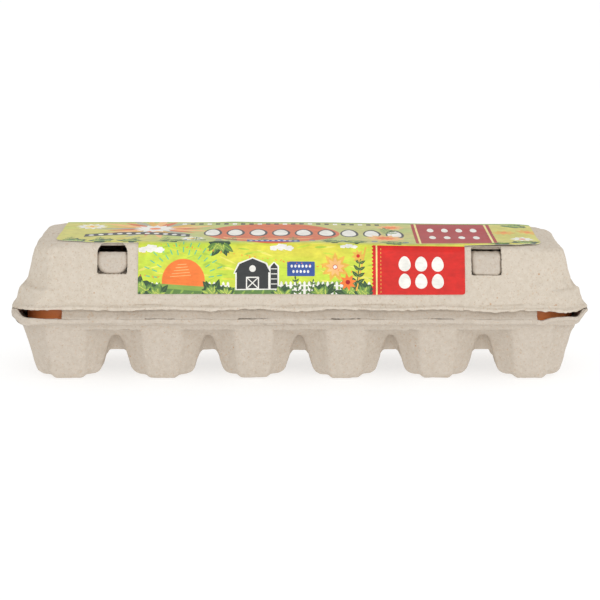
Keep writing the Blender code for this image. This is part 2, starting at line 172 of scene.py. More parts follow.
# Each knob: its middle's height, half width, half height, lower corners' radius and edge.
LEFT_KNOB = (0.0622, 0.0088, 0.0064, 0.0068, 0.0036)
RIGHT_KNOB = (0.0614, 0.0081, 0.0063, 0.0032, 0.0028)
KNOB_RISE = 0.0022
MOAT_DEPTH = 0.0040
MOAT_HALF_WIDTH = 0.0105
MOAT_BOTTOM_Z = 0.0545
MOAT_SLOPE = 0.0015
WINDOW_CUT_BACK = 0.0345

# How the lid has settled, in metres of height and of depth.
LEFT_RISE = 0.0005
RIGHT_SAG = 0.0014
BACK_RISE = 0.0005
BENT_CORNER_REACH = 0.150
BENT_CORNER_DROP = 0.0012
RIGHT_END_DROP = 0.0021
RIM_RISE = 0.00045
RIM_CUP_WAVE = 0.0005
RIM_LONG_WAVE = 0.00025
RIM_TEAR_LIMIT = 0.00034
RIM_RIGHT_DROP = 0.0008
RIGHT_CORNER_DROOP = 0.0007
CREASE_Z = 0.0411
CREASE_HALF_WIDTH = 0.00025
CREASE_DEPTH = 0.0008
CRUMPLE_DEPTH = 0.00042

# The label.
LABEL_GAP = 0.0003
LABEL_HALF_LENGTH = 0.1278
LABEL_BACK_Y = 0.0356
LABEL_FRONT_HALF_LENGTH = 0.0851
LABEL_FRONT_SHIFT = 0.0015
LABEL_BOTTOM_Z = 0.0466
FRONT_PANEL_TOP = 0.0280
LABEL_SHIFT = -0.0004
LABEL_LEFT_DROP = 0.0012
LABEL_RIGHT_RISE = 0.0005
PAPER_THICKNESS = 0.00014
LABEL_CURL = 0.0011
LABEL_CURL_LENGTH = 0.042
LABEL_CURL_DEPTH = 0.006
LABEL_FOLDS_FROM = 0.0203
LABEL_FOLDS_TO = 0.032
RIGHT_SWEEP = (15.0, 13.0)
LEFT_SWEEP = (26.0, 12.0)

# The eggs, and the strip that the lid turns on.
EGG_TAPER = 0.13
EGG_WIDEST = 1.009
END_EGG_LEAN = 0.055
FOLD_HALF_LENGTH = 0.124
FOLD_THICKNESS = 0.0009

TRAY_TRIANGLES = 190000
TRAY_SEED = 11
LID_SEED = 31
FLAP_SEED = 51
LABEL_SEED = 71
EGG_SEED = 91

# The camera, found from the outline of the solids in the picture.
CAMERA_PLACE = (0.0, -1.1825, 0.2357)
CAMERA_AIM = (0.0003, -0.050, 0.0441)
CAMERA_LENS = 132.8

# The lid and the tray are the same pulp. The lid's tone is lighter than the tray's as painted light, standing
# in for more light falling on the lid.
TRAY_TONE = (0.594, 0.529, 0.453, 1.0)
LID_TONE_PAINTED_LIGHTER = (0.664, 0.594, 0.502, 1.0)
SURROUND = 1.02
OVERHEAD = 0.76
LEFT_SHADE = 0.22
FLOOR_GLOW = 0.68
FLOOR_TONES = ((0.39, 0.39, 0.39, 1.0), (0.41, 0.41, 0.41, 1.0))
FLOOR_REACH = 8
HORIZON = 0.76
LIGHT_TARGET = (0, 0, 0.03)
# Each light: where it is, its width and height, and its power.
FRONT_LIGHT = ((0.2, -1.7, 0.75), (1.6, 1.0), 7.2)
SIDE_LIGHT = ((1.6, -0.9, 0.9), (0.9, 0.9), 0.9)

# Fibres in the pulp: how they are turned, how strong they are and their colour, in display values.
FIBRES = (
    ((0.3, 0.2, 0.5), 0.42, (196, 160, 122)),
    ((1.2, 0.4, 1.9), 0.40, (170, 144, 120)),
    ((0.5, 1.3, 2.8), 0.22, (236, 226, 208)),
)
FIBRE_SCALE = (1100, 260, 1100)
# Flecks in the pulp: cells for each metre, size as a share of a cell, share left out, and colour.
FLECKS = (
    (46, 0.036, 0.50, (62, 58, 60)),
    (95, 0.062, 0.50, (184, 136, 92)),
    (60, 0.020, 0.80, (150, 84, 70)),
    (150, 0.07, 0.58, (196, 160, 124)),
)


def rgb(red, green, blue):
    """A colour given in the 0 to 255 values of a display, as linear light."""
    channels = []
    for value in (red, green, blue):
        share = value / 255
        channels.append(share / 12.92 if share <= 0.04045 else ((share + 0.055) / 1.055) ** 2.4)
    return (*channels, 1.0)


def smoothstep(t):
    t = np.clip(t, 0.0, 1.0)
    return t * t * (3 - 2 * t)


def past(value, start, width):
    """0 up to start and 1 from width beyond it, with a smooth rise between."""
    return smoothstep((value - start) / width)


def away(u, v, reach, turn):
    """The point this far from (u, v), in a direction given in degrees."""
    return u + reach * math.cos(math.radians(turn)), v + reach * math.sin(math.radians(turn))


def soft_max(a, b, width):
    """The larger of two values, with the corner between them rounded over this width."""
    share = np.clip(0.5 + 0.5 * (a - b) / width, 0, 1)
    return b + (a - b) * share + width * share * (1 - share)


def soft_min(a, b, width):
    return -soft_max(-a, -b, width)


def random_field(points, wavelength, seed, waves=26):
    """Smooth random heights at these points, about 1 in size, with bumps of about half a wavelength."""
    draw = np.random.default_rng(seed)
    direction = draw.normal(size=(waves, 3))
    direction /= np.linalg.norm(direction, axis=1)[:, None]
    lengths = wavelength * draw.uniform(0.6, 1.5, waves)
    phases = draw.uniform(0, math.tau, waves)
    total = np.zeros(len(points))
    for way, length, phase in zip(direction, lengths, phases):
        total += np.cos(points @ way * (math.tau / length) + phase)
    return total * math.sqrt(2 / waves)


def random_line(x, wavelength, seed):
    """Smooth random heights that depend on X alone."""
    return random_field(np.column_stack([x, 0 * x, 0 * x]), wavelength, seed)


def pulp_bumps(points, seed):
    """How far the surface of the pulp stands out of true at each point."""
    wobble = 0.12 * MM * random_field(points, 34 * MM, seed)
    lumps = 0.05 * MM * random_field(points, 7 * MM, seed + 1)
    grain = 0.03 * MM * random_field(points, 2.6 * MM, seed + 2)
    drawn = 0.035 * MM * random_field(points * [1, 1, 0.12], 3.2 * MM, seed + 3)
    return wobble + lumps + grain + drawn


# Meshes


def new_piece(name, points, faces, material):
    mesh = bpy.data.meshes.new(name)
    mesh.from_pydata(np.asarray(points, float).tolist(), [], faces)
    mesh.materials.append(material)
    mesh.shade_smooth()
    piece = bpy.data.objects.new(name, mesh)
    bpy.context.scene.collection.objects.link(piece)
    return piece


def vertex_values(mesh, kind="co"):
    """The place of each vertex, or with kind "normal" its normal."""
    flat = np.empty(len(mesh.vertices) * 3, np.float32)
    mesh.vertices.foreach_get(kind, flat)
    return flat.reshape(-1, 3).astype(float)


def pushed_out(mesh, amounts):
    """The place of each vertex after a move along its normal."""
    return vertex_values(mesh) + vertex_values(mesh, "normal") * amounts[:, None]


def set_positions(mesh, points):
    mesh.vertices.foreach_set("co", points.astype(np.float32).ravel())
    mesh.update()


def apply_modifiers(piece):
    graph = bpy.context.evaluated_depsgraph_get()
    baked = bpy.data.meshes.new_from_object(piece.evaluated_get(graph))
    piece.modifiers.clear()
    old = piece.data
    piece.data = baked
    bpy.data.meshes.remove(old)


def grid_faces(rows, columns, first=0, closed=False):
    """Quads between the rows of a grid of points; closed grids join the last column to the first."""
    faces = []
    last = columns if closed else columns - 1
    for i in range(rows - 1):
        here = first + i * columns
        there = here + columns
        for j in range(last):
            after = (j + 1) % columns
            faces.append((here + j, here + after, there + after, there + j))
    return faces


def band(low, high):
    """Quads between two closed loops of point numbers."""
    count = len(low)
    return [(low[k], low[(k + 1) % count], high[(k + 1) % count], high[k]) for k in range(count)]


def inside_loop(points, loop):
    """Whether each point lies inside a closed outline."""
    loop = np.asarray(loop)
    low = loop.min(axis=0)
    high = loop.max(axis=0)
    near = np.flatnonzero(np.all((points >= low) & (points <= high), axis=1))
    u, v = points[near].T
    odd = np.zeros(len(near), bool)
    for a, b in zip(loop, np.roll(loop, -1, axis=0)):
        if a[1] != b[1]:
            crossing = a[0] + (v - a[1]) / (b[1] - a[1]) * (b[0] - a[0])
            odd ^= ((a[1] > v) != (b[1] > v)) & (u < crossing)
    result = np.zeros(len(points), bool)
    result[near] = odd
    return result


def cut_sheet(outline, shapes, spacing, folds=()):
    """Triangles over a flat outline, with the edges of every shape and every fold line cut in.

    Gives the points, the triangles, and for each triangle the number of its topmost shape, or -1."""
    points = []
    edges = []
    for loop in [outline] + shapes:
        first = len(points)
        points += [Vector(point) / MM for point in loop]
        edges += [(first + k, first + (k + 1) % len(loop)) for k in range(len(loop))]
    low = np.min(outline, axis=0)
    high = np.max(outline, axis=0)
    steps = np.maximum(np.round((high - low) / spacing).astype(int), 1)
    for i in range(steps[0] + 1):
        for j in range(steps[1] + 1):
            share = np.array([i, j]) / steps
            points.append(Vector((low + (high - low) * share) / MM))
    for fold in folds:
        edges.append((len(points), len(points) + 1))
        points += [Vector((low[0], fold)) / MM, Vector((high[0], fold)) / MM]
    found = delaunay_2d_cdt(points, edges, [], 0, 1e-5)
    flat = np.array(found[0]) * MM
    triangles = np.array([list(triangle) for triangle in found[2]])
    middles = flat[triangles].mean(axis=1)
    kept = inside_loop(middles, outline)
    triangles = triangles[kept]
    middles = middles[kept]
    top_shape = np.full(len(triangles), -1)
    for k, shape in enumerate(shapes):
        top_shape[inside_loop(middles, shape)] = k
    used, numbers = np.unique(triangles, return_inverse=True)
    triangles = [tuple(corners) for corners in numbers.reshape(-1, 3).tolist()]
    return flat[used], triangles, top_shape.tolist()


def sheet_faces(triangles, count):
    """Front and back triangles of a sheet, and the quads that close its edges. The back's points
    follow the front's."""
    faces = list(triangles)
    faces += [tuple(count + corner for corner in reversed(triangle)) for triangle in triangles]
    sides = {}
    for triangle in triangles:
        for a, b in zip(triangle, triangle[1:] + triangle[:1]):
            if (b, a) in sides:
                del sides[(b, a)]
            else:
                sides[(a, b)] = True
    faces += [(b, a, count + a, count + b) for a, b in sides]
    return faces


# Materials


def new_material(name):
    material = bpy.data.materials.new(name)
    material.use_nodes = True
    return material, material.node_tree, material.node_tree.nodes["Principled BSDF"]


def add_node(tree, kind, **values):
    """A new node; values whose names are sockets set them, and the others set its properties."""
    made = tree.nodes.new(kind)
    for name, value in values.items():
        if hasattr(made, name):
            setattr(made, name, value)
        else:
            made.inputs[name.replace("_", " ")].default_value = value
    return made


def noise(tree, coordinates, scale, detail=2.0, roughness=0.5):
    made = add_node(tree, "ShaderNodeTexNoise", Scale=scale, Detail=detail, Roughness=roughness)
    tree.links.new(coordinates, made.inputs["Vector"])
    return made.outputs["Fac"]


def remap(tree, value, low, high, to_low=0.0, to_high=1.0):
    made = add_node(tree, "ShaderNodeMapRange")
    for name, number in (("From Min", low), ("From Max", high), ("To Min", to_low), ("To Max", to_high)):
        made.inputs[name].default_value = number
    tree.links.new(value, made.inputs["Value"])
    return made.outputs["Result"]


def mix(tree, factor, a, b, blend="MIX"):
    """Mixes two colours, each given as a colour or as the socket that it comes from."""
    made = tree.nodes.new("ShaderNodeMix")
    made.data_type = "RGBA"
    made.blend_type = blend
    for value, socket in ((factor, made.inputs[0]), (a, made.inputs[6]), (b, made.inputs[7])):
        if isinstance(value, (tuple, float, int)):
            socket.default_value = value
        else:
            tree.links.new(value, socket)
    return made.outputs[2]


def multiply(tree, a, b):
    made = tree.nodes.new("ShaderNodeMath")
    made.operation = "MULTIPLY"
    for value, socket in ((a, made.inputs[0]), (b, made.inputs[1])):
        if isinstance(value, (float, int)):
            socket.default_value = value
        else:
            tree.links.new(value, socket)
    return made.outputs[0]


def stretched(tree, coordinates, turn, scale):
    made = tree.nodes.new("ShaderNodeMapping")
    made.inputs["Rotation"].default_value = turn
    made.inputs["Scale"].default_value = scale
    tree.links.new(coordinates, made.inputs["Vector"])
    return made.outputs["Vector"]


def set_surface(tree, shader, color, roughness, specular):
    tree.links.new(color, shader.inputs["Base Color"])
    shader.inputs["Roughness"].default_value = roughness
    shader.inputs["Specular IOR Level"].default_value = specular


def add_bump(tree, shader, height, strength, distance):
    bump = add_node(tree, "ShaderNodeBump", Strength=strength, Distance=distance)
    tree.links.new(height, bump.inputs["Height"])
    tree.links.new(bump.outputs["Normal"], shader.inputs["Normal"])


def pulp_material(name, tone):
    """Recycled paper pulp: a warm grey felt of fibres, with a few stray coloured flecks."""
    material, tree, shader = new_material(name)
    place = tree.nodes.new("ShaderNodeTexCoord").outputs["Object"]
    pale = tuple(min(1.0, channel * 1.03) for channel in tone[:3]) + (1.0,)
    deep = (tone[0] * 0.925, tone[1] * 0.905, tone[2] * 0.875, 1.0)
    cloudy = remap(tree, noise(tree, place, 90, 3), 0.35, 0.65)
    mottled = remap(tree, noise(tree, place, 430, 3, 0.55), 0.34, 0.66)
    color = mix(tree, mottled, deep, pale)
    color = mix(tree, multiply(tree, cloudy, 0.4), color, tone)
    for turn, strength, hue in FIBRES:
        along = stretched(tree, place, turn, FIBRE_SCALE)
        strands = remap(tree, noise(tree, along, 1.0, 1), 0.62, 0.74, 0.0, strength)
        color = mix(tree, strands, color, rgb(*hue))
    for cell, reach, keep, hue in FLECKS:
        spots = add_node(tree, "ShaderNodeTexVoronoi", Scale=cell)
        tree.links.new(stretched(tree, place, (0.1 * cell, 0.7, 1.1), (1, 1, 1)), spots.inputs["Vector"])
        inside = remap(tree, spots.outputs["Distance"], reach, reach * 0.5)
        split = tree.nodes.new("ShaderNodeSeparateColor")
        tree.links.new(spots.outputs["Color"], split.inputs[0])
        chosen = remap(tree, split.outputs[0], keep, keep + 0.02)
        color = mix(tree, multiply(tree, inside, multiply(tree, chosen, 0.7)), color, rgb(*hue))
    set_surface(tree, shader, color, 0.96, 0.18)
    add_bump(tree, shader, noise(tree, place, 900, 4, 0.6), 0.35, 0.0002)
    return material


def eggshell_material():
    """Brown shell: mottled, a little darker in patches, with fine pores."""
    material, tree, shader = new_material("eggshell")
    place = tree.nodes.new("ShaderNodeTexCoord").outputs["Object"]
    patches = remap(tree, noise(tree, place, 28, 2), 0.35, 0.65)
    color = mix(tree, patches, rgb(236, 138, 78), rgb(248, 150, 88))
    clouds = remap(tree, noise(tree, place, 260, 4, 0.6), 0.4, 0.7)
    color = mix(tree, multiply(tree, clouds, 0.35), color, rgb(214, 122, 70))
    spots = add_node(tree, "ShaderNodeTexVoronoi", Scale=420.0)
    tree.links.new(place, spots.inputs["Vector"])
    speck = remap(tree, spots.outputs["Distance"], 0.16, 0.06, 0.0, 0.5)
    color = mix(tree, speck, color, rgb(178, 100, 56))
    set_surface(tree, shader, color, 0.46, 0.4)
    add_bump(tree, shader, noise(tree, place, 1600, 3, 0.6), 0.22, 0.0002)
    return material


def paper_material():
    """Coated label paper: the inks come from the print, and wash unevenly as painted colour does."""
    material, tree, shader = new_material("label_paper")
    place = tree.nodes.new("ShaderNodeTexCoord").outputs["Object"]
    ink = add_node(tree, "ShaderNodeVertexColor", layer_name="ink")
    wash = remap(tree, noise(tree, place, 190, 4, 0.6), 0.3, 0.7, 0.86, 1.08)
    streaks = stretched(tree, place, (0.0, 0.0, 0.35), (260, 900, 900))
    strokes = remap(tree, noise(tree, streaks, 1.0, 2), 0.3, 0.7, 0.93, 1.05)
    shade = add_node(tree, "ShaderNodeCombineColor")
    for channel in range(3):
        tree.links.new(multiply(tree, wash, strokes), shade.inputs[channel])
    color = mix(tree, 1.0, ink.outputs["Color"], shade.outputs[0], "MULTIPLY")
    set_surface(tree, shader, color, 0.45, 0.3)
    add_bump(tree, shader, noise(tree, place, 240, 3, 0.5), 0.12, 0.0003)
    return material


def floor_material():
    material, tree, shader = new_material("pale_floor")
    place = tree.nodes.new("ShaderNodeTexCoord").outputs["Object"]
    color = mix(tree, noise(tree, place, 3.0), *FLOOR_TONES)
    set_surface(tree, shader, color, 0.9, 0.1)
    shader.inputs["Emission Color"].default_value = (1.0, 1.0, 1.0, 1.0)
    shader.inputs["Emission Strength"].default_value = FLOOR_GLOW
    return material


# The tray


def column_x(column):
    """The middle of a column of cups; the end columns stand a little further out."""
    side = (column == COLUMNS - 1) - (column == 0)
    return (column - (COLUMNS - 1) / 2) * PITCH_X + side * END_COLUMN_SHIFT


def row_y(row):
    return (row - (ROWS - 1) / 2) * PITCH_Y


def nearest(values, places):
    return np.min([np.abs(values - place) for place in places], axis=0)


def past_wall(across, along):
    """How far a point lies outside the foot of a cup's wall, from its distances to the cup's centre."""
    corner = ((across + along) / math.sqrt(2) - CUP_CORNER_REACH) * CUP_DRAFT / CUP_CORNER_DRAFT
    sides = np.maximum(across, along) - CUP_HALF_WIDTH
    return soft_max(sides, corner, CUP_EDGE_SOFTNESS) - CUP_EDGE_SOFTNESS * 0.1


def cup_underside(x, y):
    """Height of the cups' outer surface: cross-shaped feet, a rounded bottom edge, the leaning wall."""
    across = nearest(x, [column_x(column) for column in range(COLUMNS)])
    left_end = np.maximum(column_x(0) - x, 0)
    across = across - LEFT_CUP_WIDENING * smoothstep(left_end / CUP_HALF_WIDTH)
    along = nearest(y, [row_y(row) for row in range(ROWS)])
    out = past_wall(across, along)
    wall_angle = math.atan(1 / CUP_DRAFT)
    tangent = CUP_BOTTOM_RADIUS * math.tan(wall_angle / 2)
    into_arc = np.clip(out + tangent, 0, tangent * (1 + math.cos(wall_angle)))
    arc = CUP_BOTTOM_RADIUS - np.sqrt(CUP_BOTTOM_RADIUS**2 - into_arc**2)
    height = np.where(out > tangent * math.cos(wall_angle), out / CUP_DRAFT, arc)
    off_foot = past(np.minimum(across, along), FOOT_HALF_WIDTH, FOOT_SLOPE_WIDTH)
    on_side_arm = past(across, FOOT_HALF_WIDTH, FOOT_SLOPE_WIDTH)
    return height + np.maximum(FOOT_HEIGHT * off_foot, SIDE_ARM_RISE * on_side_arm)


def lip_place(x, y):
    """Where the nearest point of the tray's outline is, from front to back."""
    straight_y = LIP_HALF_DEPTH - LIP_CORNER_RADIUS
    beyond_x = np.abs(x) - (LIP_HALF_LENGTH - LIP_CORNER_RADIUS)
    beyond_y = np.abs(y) - straight_y
    away = np.maximum(np.hypot(beyond_x, beyond_y), 1e-9)
    on_arc = straight_y + LIP_CORNER_RADIUS * beyond_y / away
    on_side = np.where(beyond_y > beyond_x, LIP_HALF_DEPTH, np.abs(y))
    return np.sign(y) * np.where((beyond_x > 0) & (beyond_y > 0), on_arc, on_side)


def rim_height(x, y):
    """The lip's top: high at the ends and the back, low along the front, uneven where it shows."""
    start = SCOOP_START_Y + SCOOP_RIGHT_SHIFT * smoothstep(x / 0.1)
    rise = past(lip_place(x, y), start, SCOOP_LENGTH)
    right_corner = MM * np.interp(x, RIGHT_CORNER_X, RIGHT_CORNER_LIFT)
    left_corner = LEFT_CORNER_LIFT * past(-x, 0.124, 0.022)
    wave = sum(height * MM * np.sin(x / length + phase) for height, length, phase in RIM_WAVES)
    return FRONT_RIM_Z + (RIM_Z - FRONT_RIM_Z) * rise + (right_corner + left_corner + wave) * (1 - rise)


def ridge_underside(x, y):
    """Height of the sheet between the cups: saddles, posts, arches, the band below the lip, the lip."""
    posts = [(column_x(column) + column_x(column + 1)) / 2 for column in range(COLUMNS - 1)]
    from_post = np.hypot(nearest(x, posts), y)
    post = POST_TOP_Z - np.maximum(from_post - POST_TOP_RADIUS, 0) * POST_SLOPE
    beyond_end = np.maximum(np.abs(x) - column_x(COLUMNS - 1), 0)
    beyond_side = np.maximum(np.abs(y) - row_y(ROWS - 1), 0)
    out = past_wall(beyond_end, beyond_side)
    band_foot = BAND_BOTTOM_Z * CUP_DRAFT
    root = LIP_ROOT_Z * CUP_DRAFT
    ramp = np.interp(
        out,
        [
            SADDLE_REACH - CUP_HALF_WIDTH,
            ARCH_BACK_REACH - CUP_HALF_WIDTH,
            ARCH_REACH - CUP_HALF_WIDTH,
            band_foot - LEDGE_GROOVE_WIDTH,
            band_foot,
            root,
        ],
        [SADDLE_Z, ARCH_BACK_Z, ARCH_Z, BAND_BOTTOM_Z + LEDGE_GROOVE_HEIGHT, BAND_BOTTOM_Z, LIP_ROOT_Z],
    )
    from_root = np.minimum(out - root, LIP_WIDTH - from_lip_edge(x, y))
    flare = smoothstep(from_root / LIP_FLARE_WIDTH)
    edge_height = LIP_EDGE_HEIGHT - RIGHT_LIP_THINNING * past(x, 0.120, 0.02)
    edge_height += LEFT_LIP_THICKENING * past(-x, 0.128, 0.016)
    lip = (rim_height(x, y) - edge_height - LIP_ROOT_Z) * flare
    return soft_max(post, ramp + lip, RIDGE_SOFTNESS)


def tray_underside(x, y):
    """The cups and the ridges between them; they meet in a round arch, and sharply at the ledge."""
    beyond_side = np.abs(y) - row_y(ROWS - 1)
    under_ledge = [ARCH_REACH - CUP_HALF_WIDTH + 2 * MM, BAND_BOTTOM_Z * CUP_DRAFT - 3 * MM]
    softness = np.interp(beyond_side - CUP_HALF_WIDTH, under_ledge, [ARCH_SOFTNESS, LEDGE_SOFTNESS])
    return soft_min(cup_underside(x, y), ridge_underside(x, y), softness)


def from_lip_edge(x, y):
    """Distance in from the tray's outline."""
    beyond_x = np.abs(x) - (LIP_HALF_LENGTH - LIP_CORNER_RADIUS)
    beyond_y = np.abs(y) - (LIP_HALF_DEPTH - LIP_CORNER_RADIUS)
    corner = np.hypot(np.maximum(beyond_x, 0), np.maximum(beyond_y, 0))
    return LIP_CORNER_RADIUS - corner - np.minimum(np.maximum(beyond_x, beyond_y), 0)


def tray_upper_side(x, y):
    """The underside moved out by one sheet thickness: the highest of the balls that sit on it."""
    top = tray_underside(x, y) + PULP
    for share in (0.4, 0.7, 0.88, 0.963, 1.0):
        rise = PULP * math.sqrt(1 - share**2)
        for step in range(12):
            turn = math.tau * step / 12
            dx = PULP * share * math.cos(turn)
            dy = PULP * share * math.sin(turn)
            top = np.maximum(top, tray_underside(x + dx, y + dy) + rise)
    by_flap = (y < 0) * smoothstep((FLAP_HALF_LENGTH - np.abs(x)) / (2 * MM))
    behind_edge = np.maximum(from_lip_edge(x, y) - LIP_EDGE_THICKNESS - FLAP_SHELF * by_flap, 0)
    return np.maximum(top, rim_height(x, y) - behind_edge**2 / (2 * LIP_EDGE_ROUNDNESS))


def wall_lines(middles, reach, coarse, fine, thin_from=math.inf):
    """Positions of grid lines along one axis: coarse over the cups' bottoms, fine over their walls.

    Past thin_from all are further apart."""
    flat = CUP_HALF_WIDTH - 0.0015
    stops = [-reach]
    for middle in middles:
        stops += [middle - flat, middle + flat]
    stops.append(reach)
    lines = []
    for k, (start, end) in enumerate(zip(stops, stops[1:])):
        spacing = coarse if k % 2 else fine
        if start > thin_from:
            spacing *= 1.5
        steps = max(1, round((end - start) / spacing))
        lines += list(start + (end - start) * np.arange(steps) / steps)
    return np.array(lines + [reach])


def tray_grid():
    """Grid points over the tray's outline, a rectangle whose corners are drawn in to arcs."""
    coarse = 0.85 * MM
    fine = 0.42 * MM
    x, y = np.meshgrid(
        wall_lines([column_x(column) for column in range(COLUMNS)], LIP_HALF_LENGTH, coarse, fine),
        wall_lines([row_y(row) for row in range(ROWS)], LIP_HALF_DEPTH, coarse, fine, -0.012),
        indexing="ij",
    )
    a = np.clip((np.abs(x) - LIP_HALF_LENGTH) / LIP_CORNER_RADIUS + 1, 0, 1)
    b = np.clip((np.abs(y) - LIP_HALF_DEPTH) / LIP_CORNER_RADIUS + 1, 0, 1)
    x = x - np.sign(x) * LIP_CORNER_RADIUS * a * (1 - np.sqrt(1 - b**2 / 2))
    y = y - np.sign(y) * LIP_CORNER_RADIUS * b * (1 - np.sqrt(1 - a**2 / 2))
    return x, y


def outward(flat):
    """Unit vectors that point out of the tray's outline, at points on it."""
    half = np.array([LIP_HALF_LENGTH - LIP_CORNER_RADIUS, LIP_HALF_DEPTH - LIP_CORNER_RADIUS])
    away = flat - np.clip(flat, -half, half)
    return away / np.linalg.norm(away, axis=1)[:, None]


def build_tray(material):
    """The tray as one sheet between its underside and its upper side, with a rolled lip."""
    x, y = tray_grid()
    lower = tray_underside(x, y)
    upper = tray_upper_side(x, y)
    columns, rows = x.shape
    count = columns * rows
    index = np.arange(count).reshape(columns, rows)
    edge = np.array([*index[:-1, 0], *index[-1, :-1], *index[:0:-1, -1], *index[0, :0:-1]])
    low_points = np.column_stack([x.ravel(), y.ravel(), lower.ravel()])
    high_points = np.column_stack([x.ravel(), y.ravel(), upper.ravel()])
    out = outward(low_points[edge, :2])
    groups = [low_points, high_points]
    loops = [edge]
    for step in range(1, LIP_ROLL_STEPS + 1):
        share = step / (LIP_ROLL_STEPS + 1)
        middle = low_points[edge] * (1 - share) + high_points[edge] * share
        middle[:, :2] += out * LIP_ROLL * math.sin(math.pi * share)
        loops.append(sum(len(group) for group in groups) + np.arange(len(edge)))
        groups.append(middle)
    loops.append(count + edge)
    faces = [quad[::-1] for quad in grid_faces(columns, rows)]
    faces += grid_faces(columns, rows, count)
    for low, high in zip(loops, loops[1:]):
        faces += band(low.tolist(), high.tolist())
    tray = new_piece("pulp_tray", np.concatenate(groups), faces, material)
    roughen(tray, TRAY_SEED)
    fewer = tray.modifiers.new("fewer_faces", "DECIMATE")
    fewer.ratio = min(1.0, TRAY_TRIANGLES / (2 * len(faces)))
    tray.modifiers.new("crisp_facets", "WEIGHTED_NORMAL")
    apply_modifiers(tray)
    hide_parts("tray")
    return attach(tray, "tray_with_eggs")


def roughen(piece, seed, calm=0.0):
    """Makes the surface of a pulp shell uneven, less where calm is near 1, and flat on the ground."""
    points = pushed_out(piece.data, pulp_bumps(vertex_values(piece.data), seed) * (1 - calm))
    points[:, 2] = np.maximum(points[:, 2], 0.0)
    set_positions(piece.data, points)


# The flap that locks the lid


def flap_y(z):
    """Where the flap's front is at a height: just inside the lid's wall, and flaring into the lip."""
    wall = WALL_FOOT_HALF_DEPTH - FRONT_LEAN * (z - WALL_FOOT_Z) - WALL_THICKNESS
    return -(wall - LID_GAP) - FLAP_FLARE * smoothstep((FLAP_FLARE_TOP_Z - z) / (3 * MM))


def ragged(points, size, seed):
    """A closed outline drawn with many small steps, each a little off the line."""
    draw = np.random.default_rng(seed)
    torn = []
    for a, b in zip(points, points[1:] + points[:1]):
        a = np.array(a)
        b = np.array(b)
        steps = max(1, round(np.linalg.norm(b - a) / (0.8 * MM)))
        for k in range(steps):
            torn.append(tuple(a + (b - a) * k / steps + draw.normal(0, size, 2)))
    return torn


def rounded_box(low, high, radii, steps=5):
    """A rectangle's outline, its corners rounded by radii, from the lower right one round to the left."""
    points = []
    for k, (radius, (sx, sy)) in enumerate(zip(radii, ((1, -1), (1, 1), (-1, 1), (-1, -1)))):
        corner_x = high[0] - radius if sx > 0 else low[0] + radius
        corner_y = high[1] - radius if sy > 0 else low[1] + radius
        for step in range(steps + 1):
            points.append(away(corner_x, corner_y, radius, -90 + 90 * k + 90 * step / steps))
    return points


def flap_outline():
    """The flap's outline in X and Z: a low strip with a tall, round-cornered tongue at each window."""
    root = TONGUE_ROOT_WIDTH / 2
    tip = TONGUE_WIDTH / 2
    corner = TONGUE_CORNER
    outline = [(-FLAP_HALF_LENGTH, FLAP_ROOT_Z), (FLAP_HALF_LENGTH, FLAP_ROOT_Z)]
    outline.append((FLAP_HALF_LENGTH, FLAP_TOP_Z))
    for middle in (WINDOW_X, -WINDOW_X):
        outline += [(middle + root, FLAP_TOP_Z), (middle + tip, FLAP_TOP_Z + 2 * corner)]
        for side, first in ((1, 0), (-1, 90)):
            for step in range(5):
                centre = middle + side * (tip - corner)
                outline.append(away(centre, TONGUE_TOP_Z - corner, corner, first + 22.5 * step))
        outline += [(middle - tip, FLAP_TOP_Z + 2 * corner), (middle - root, FLAP_TOP_Z)]
    outline.append((-FLAP_HALF_LENGTH, FLAP_TOP_Z))
    return outline


def pillow(across, up, half_width, half_height, corner, edge):
    """1 over a rectangle whose lower corners are round, falling steeply to 0 at its edge."""
    inset = np.where(up < 0, corner, edge)
    over = np.hypot(
        np.maximum(np.abs(across) - half_width + inset, 0),
        np.maximum(np.abs(up) - half_height + inset, 0),
    )
    inside = np.clip((inset - over) / edge, 0, 1)
    return np.sqrt(1 - (1 - inside) ** 2)


def build_flap(material):
    """The locking flap: a torn-edged sheet with slits at its fold and a knob in each latch window."""
    spacing = 0.42 * MM
    outline = ragged(flap_outline(), 0.07 * MM, FLAP_SEED)
    slits = []
    for k, column in enumerate(range(1, COLUMNS - 1)):
        middle = column_x(column)
        low = (middle - SLIT_LENGTH / 2, SLIT_BOTTOM_Z)
        high = (middle + SLIT_LENGTH / 2, SLIT_TOP_Z)
        box = rounded_box(low, high, (0.2 * MM,) * 4, 3)
        slits.append(ragged(box, 0.09 * MM, FLAP_SEED + 1 + k))
    flat, triangles, top_shape = cut_sheet(outline, slits, spacing)
    triangles = [triangle for triangle, shape in zip(triangles, top_shape) if shape < 0]
    x = flat[:, 0]
    z = flat[:, 1]
    knobs = 0
    for middle, (knob_z, *shape) in ((-WINDOW_X, LEFT_KNOB), (WINDOW_X, RIGHT_KNOB)):
        knobs = knobs + pillow(x - middle, z - knob_z, *shape)
    moats = smoothstep((MOAT_HALF_WIDTH - np.abs(np.abs(x) - WINDOW_X)) / MOAT_SLOPE)
    moats *= past(z, MOAT_BOTTOM_Z, MOAT_SLOPE)
    flat_3d = np.column_stack([x, flap_y(z), z])
    front = flat_3d + [0, 1, 0] * (MOAT_DEPTH * moats - (KNOB_RISE + MOAT_DEPTH) * knobs)[:, None]
    front[:, 1] += 0.25 * MM * random_field(flat_3d, 24 * MM, FLAP_SEED) - 0.15 * MM
    back = front + [0, FLAP_THICKNESS, 0]
    faces = sheet_faces(triangles, len(flat))
    flap = new_piece("pulp_flap", np.concatenate([front, back]), faces, material)
    roughen(flap, FLAP_SEED, calm=0.4)
    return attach(flap, "tray_with_eggs")


# The lid


def front_wall(z):
    """Half depth of the lid's outer surface at a height on its front or back wall."""
    return WALL_FOOT_HALF_DEPTH - FRONT_LEAN * (z - WALL_FOOT_Z)


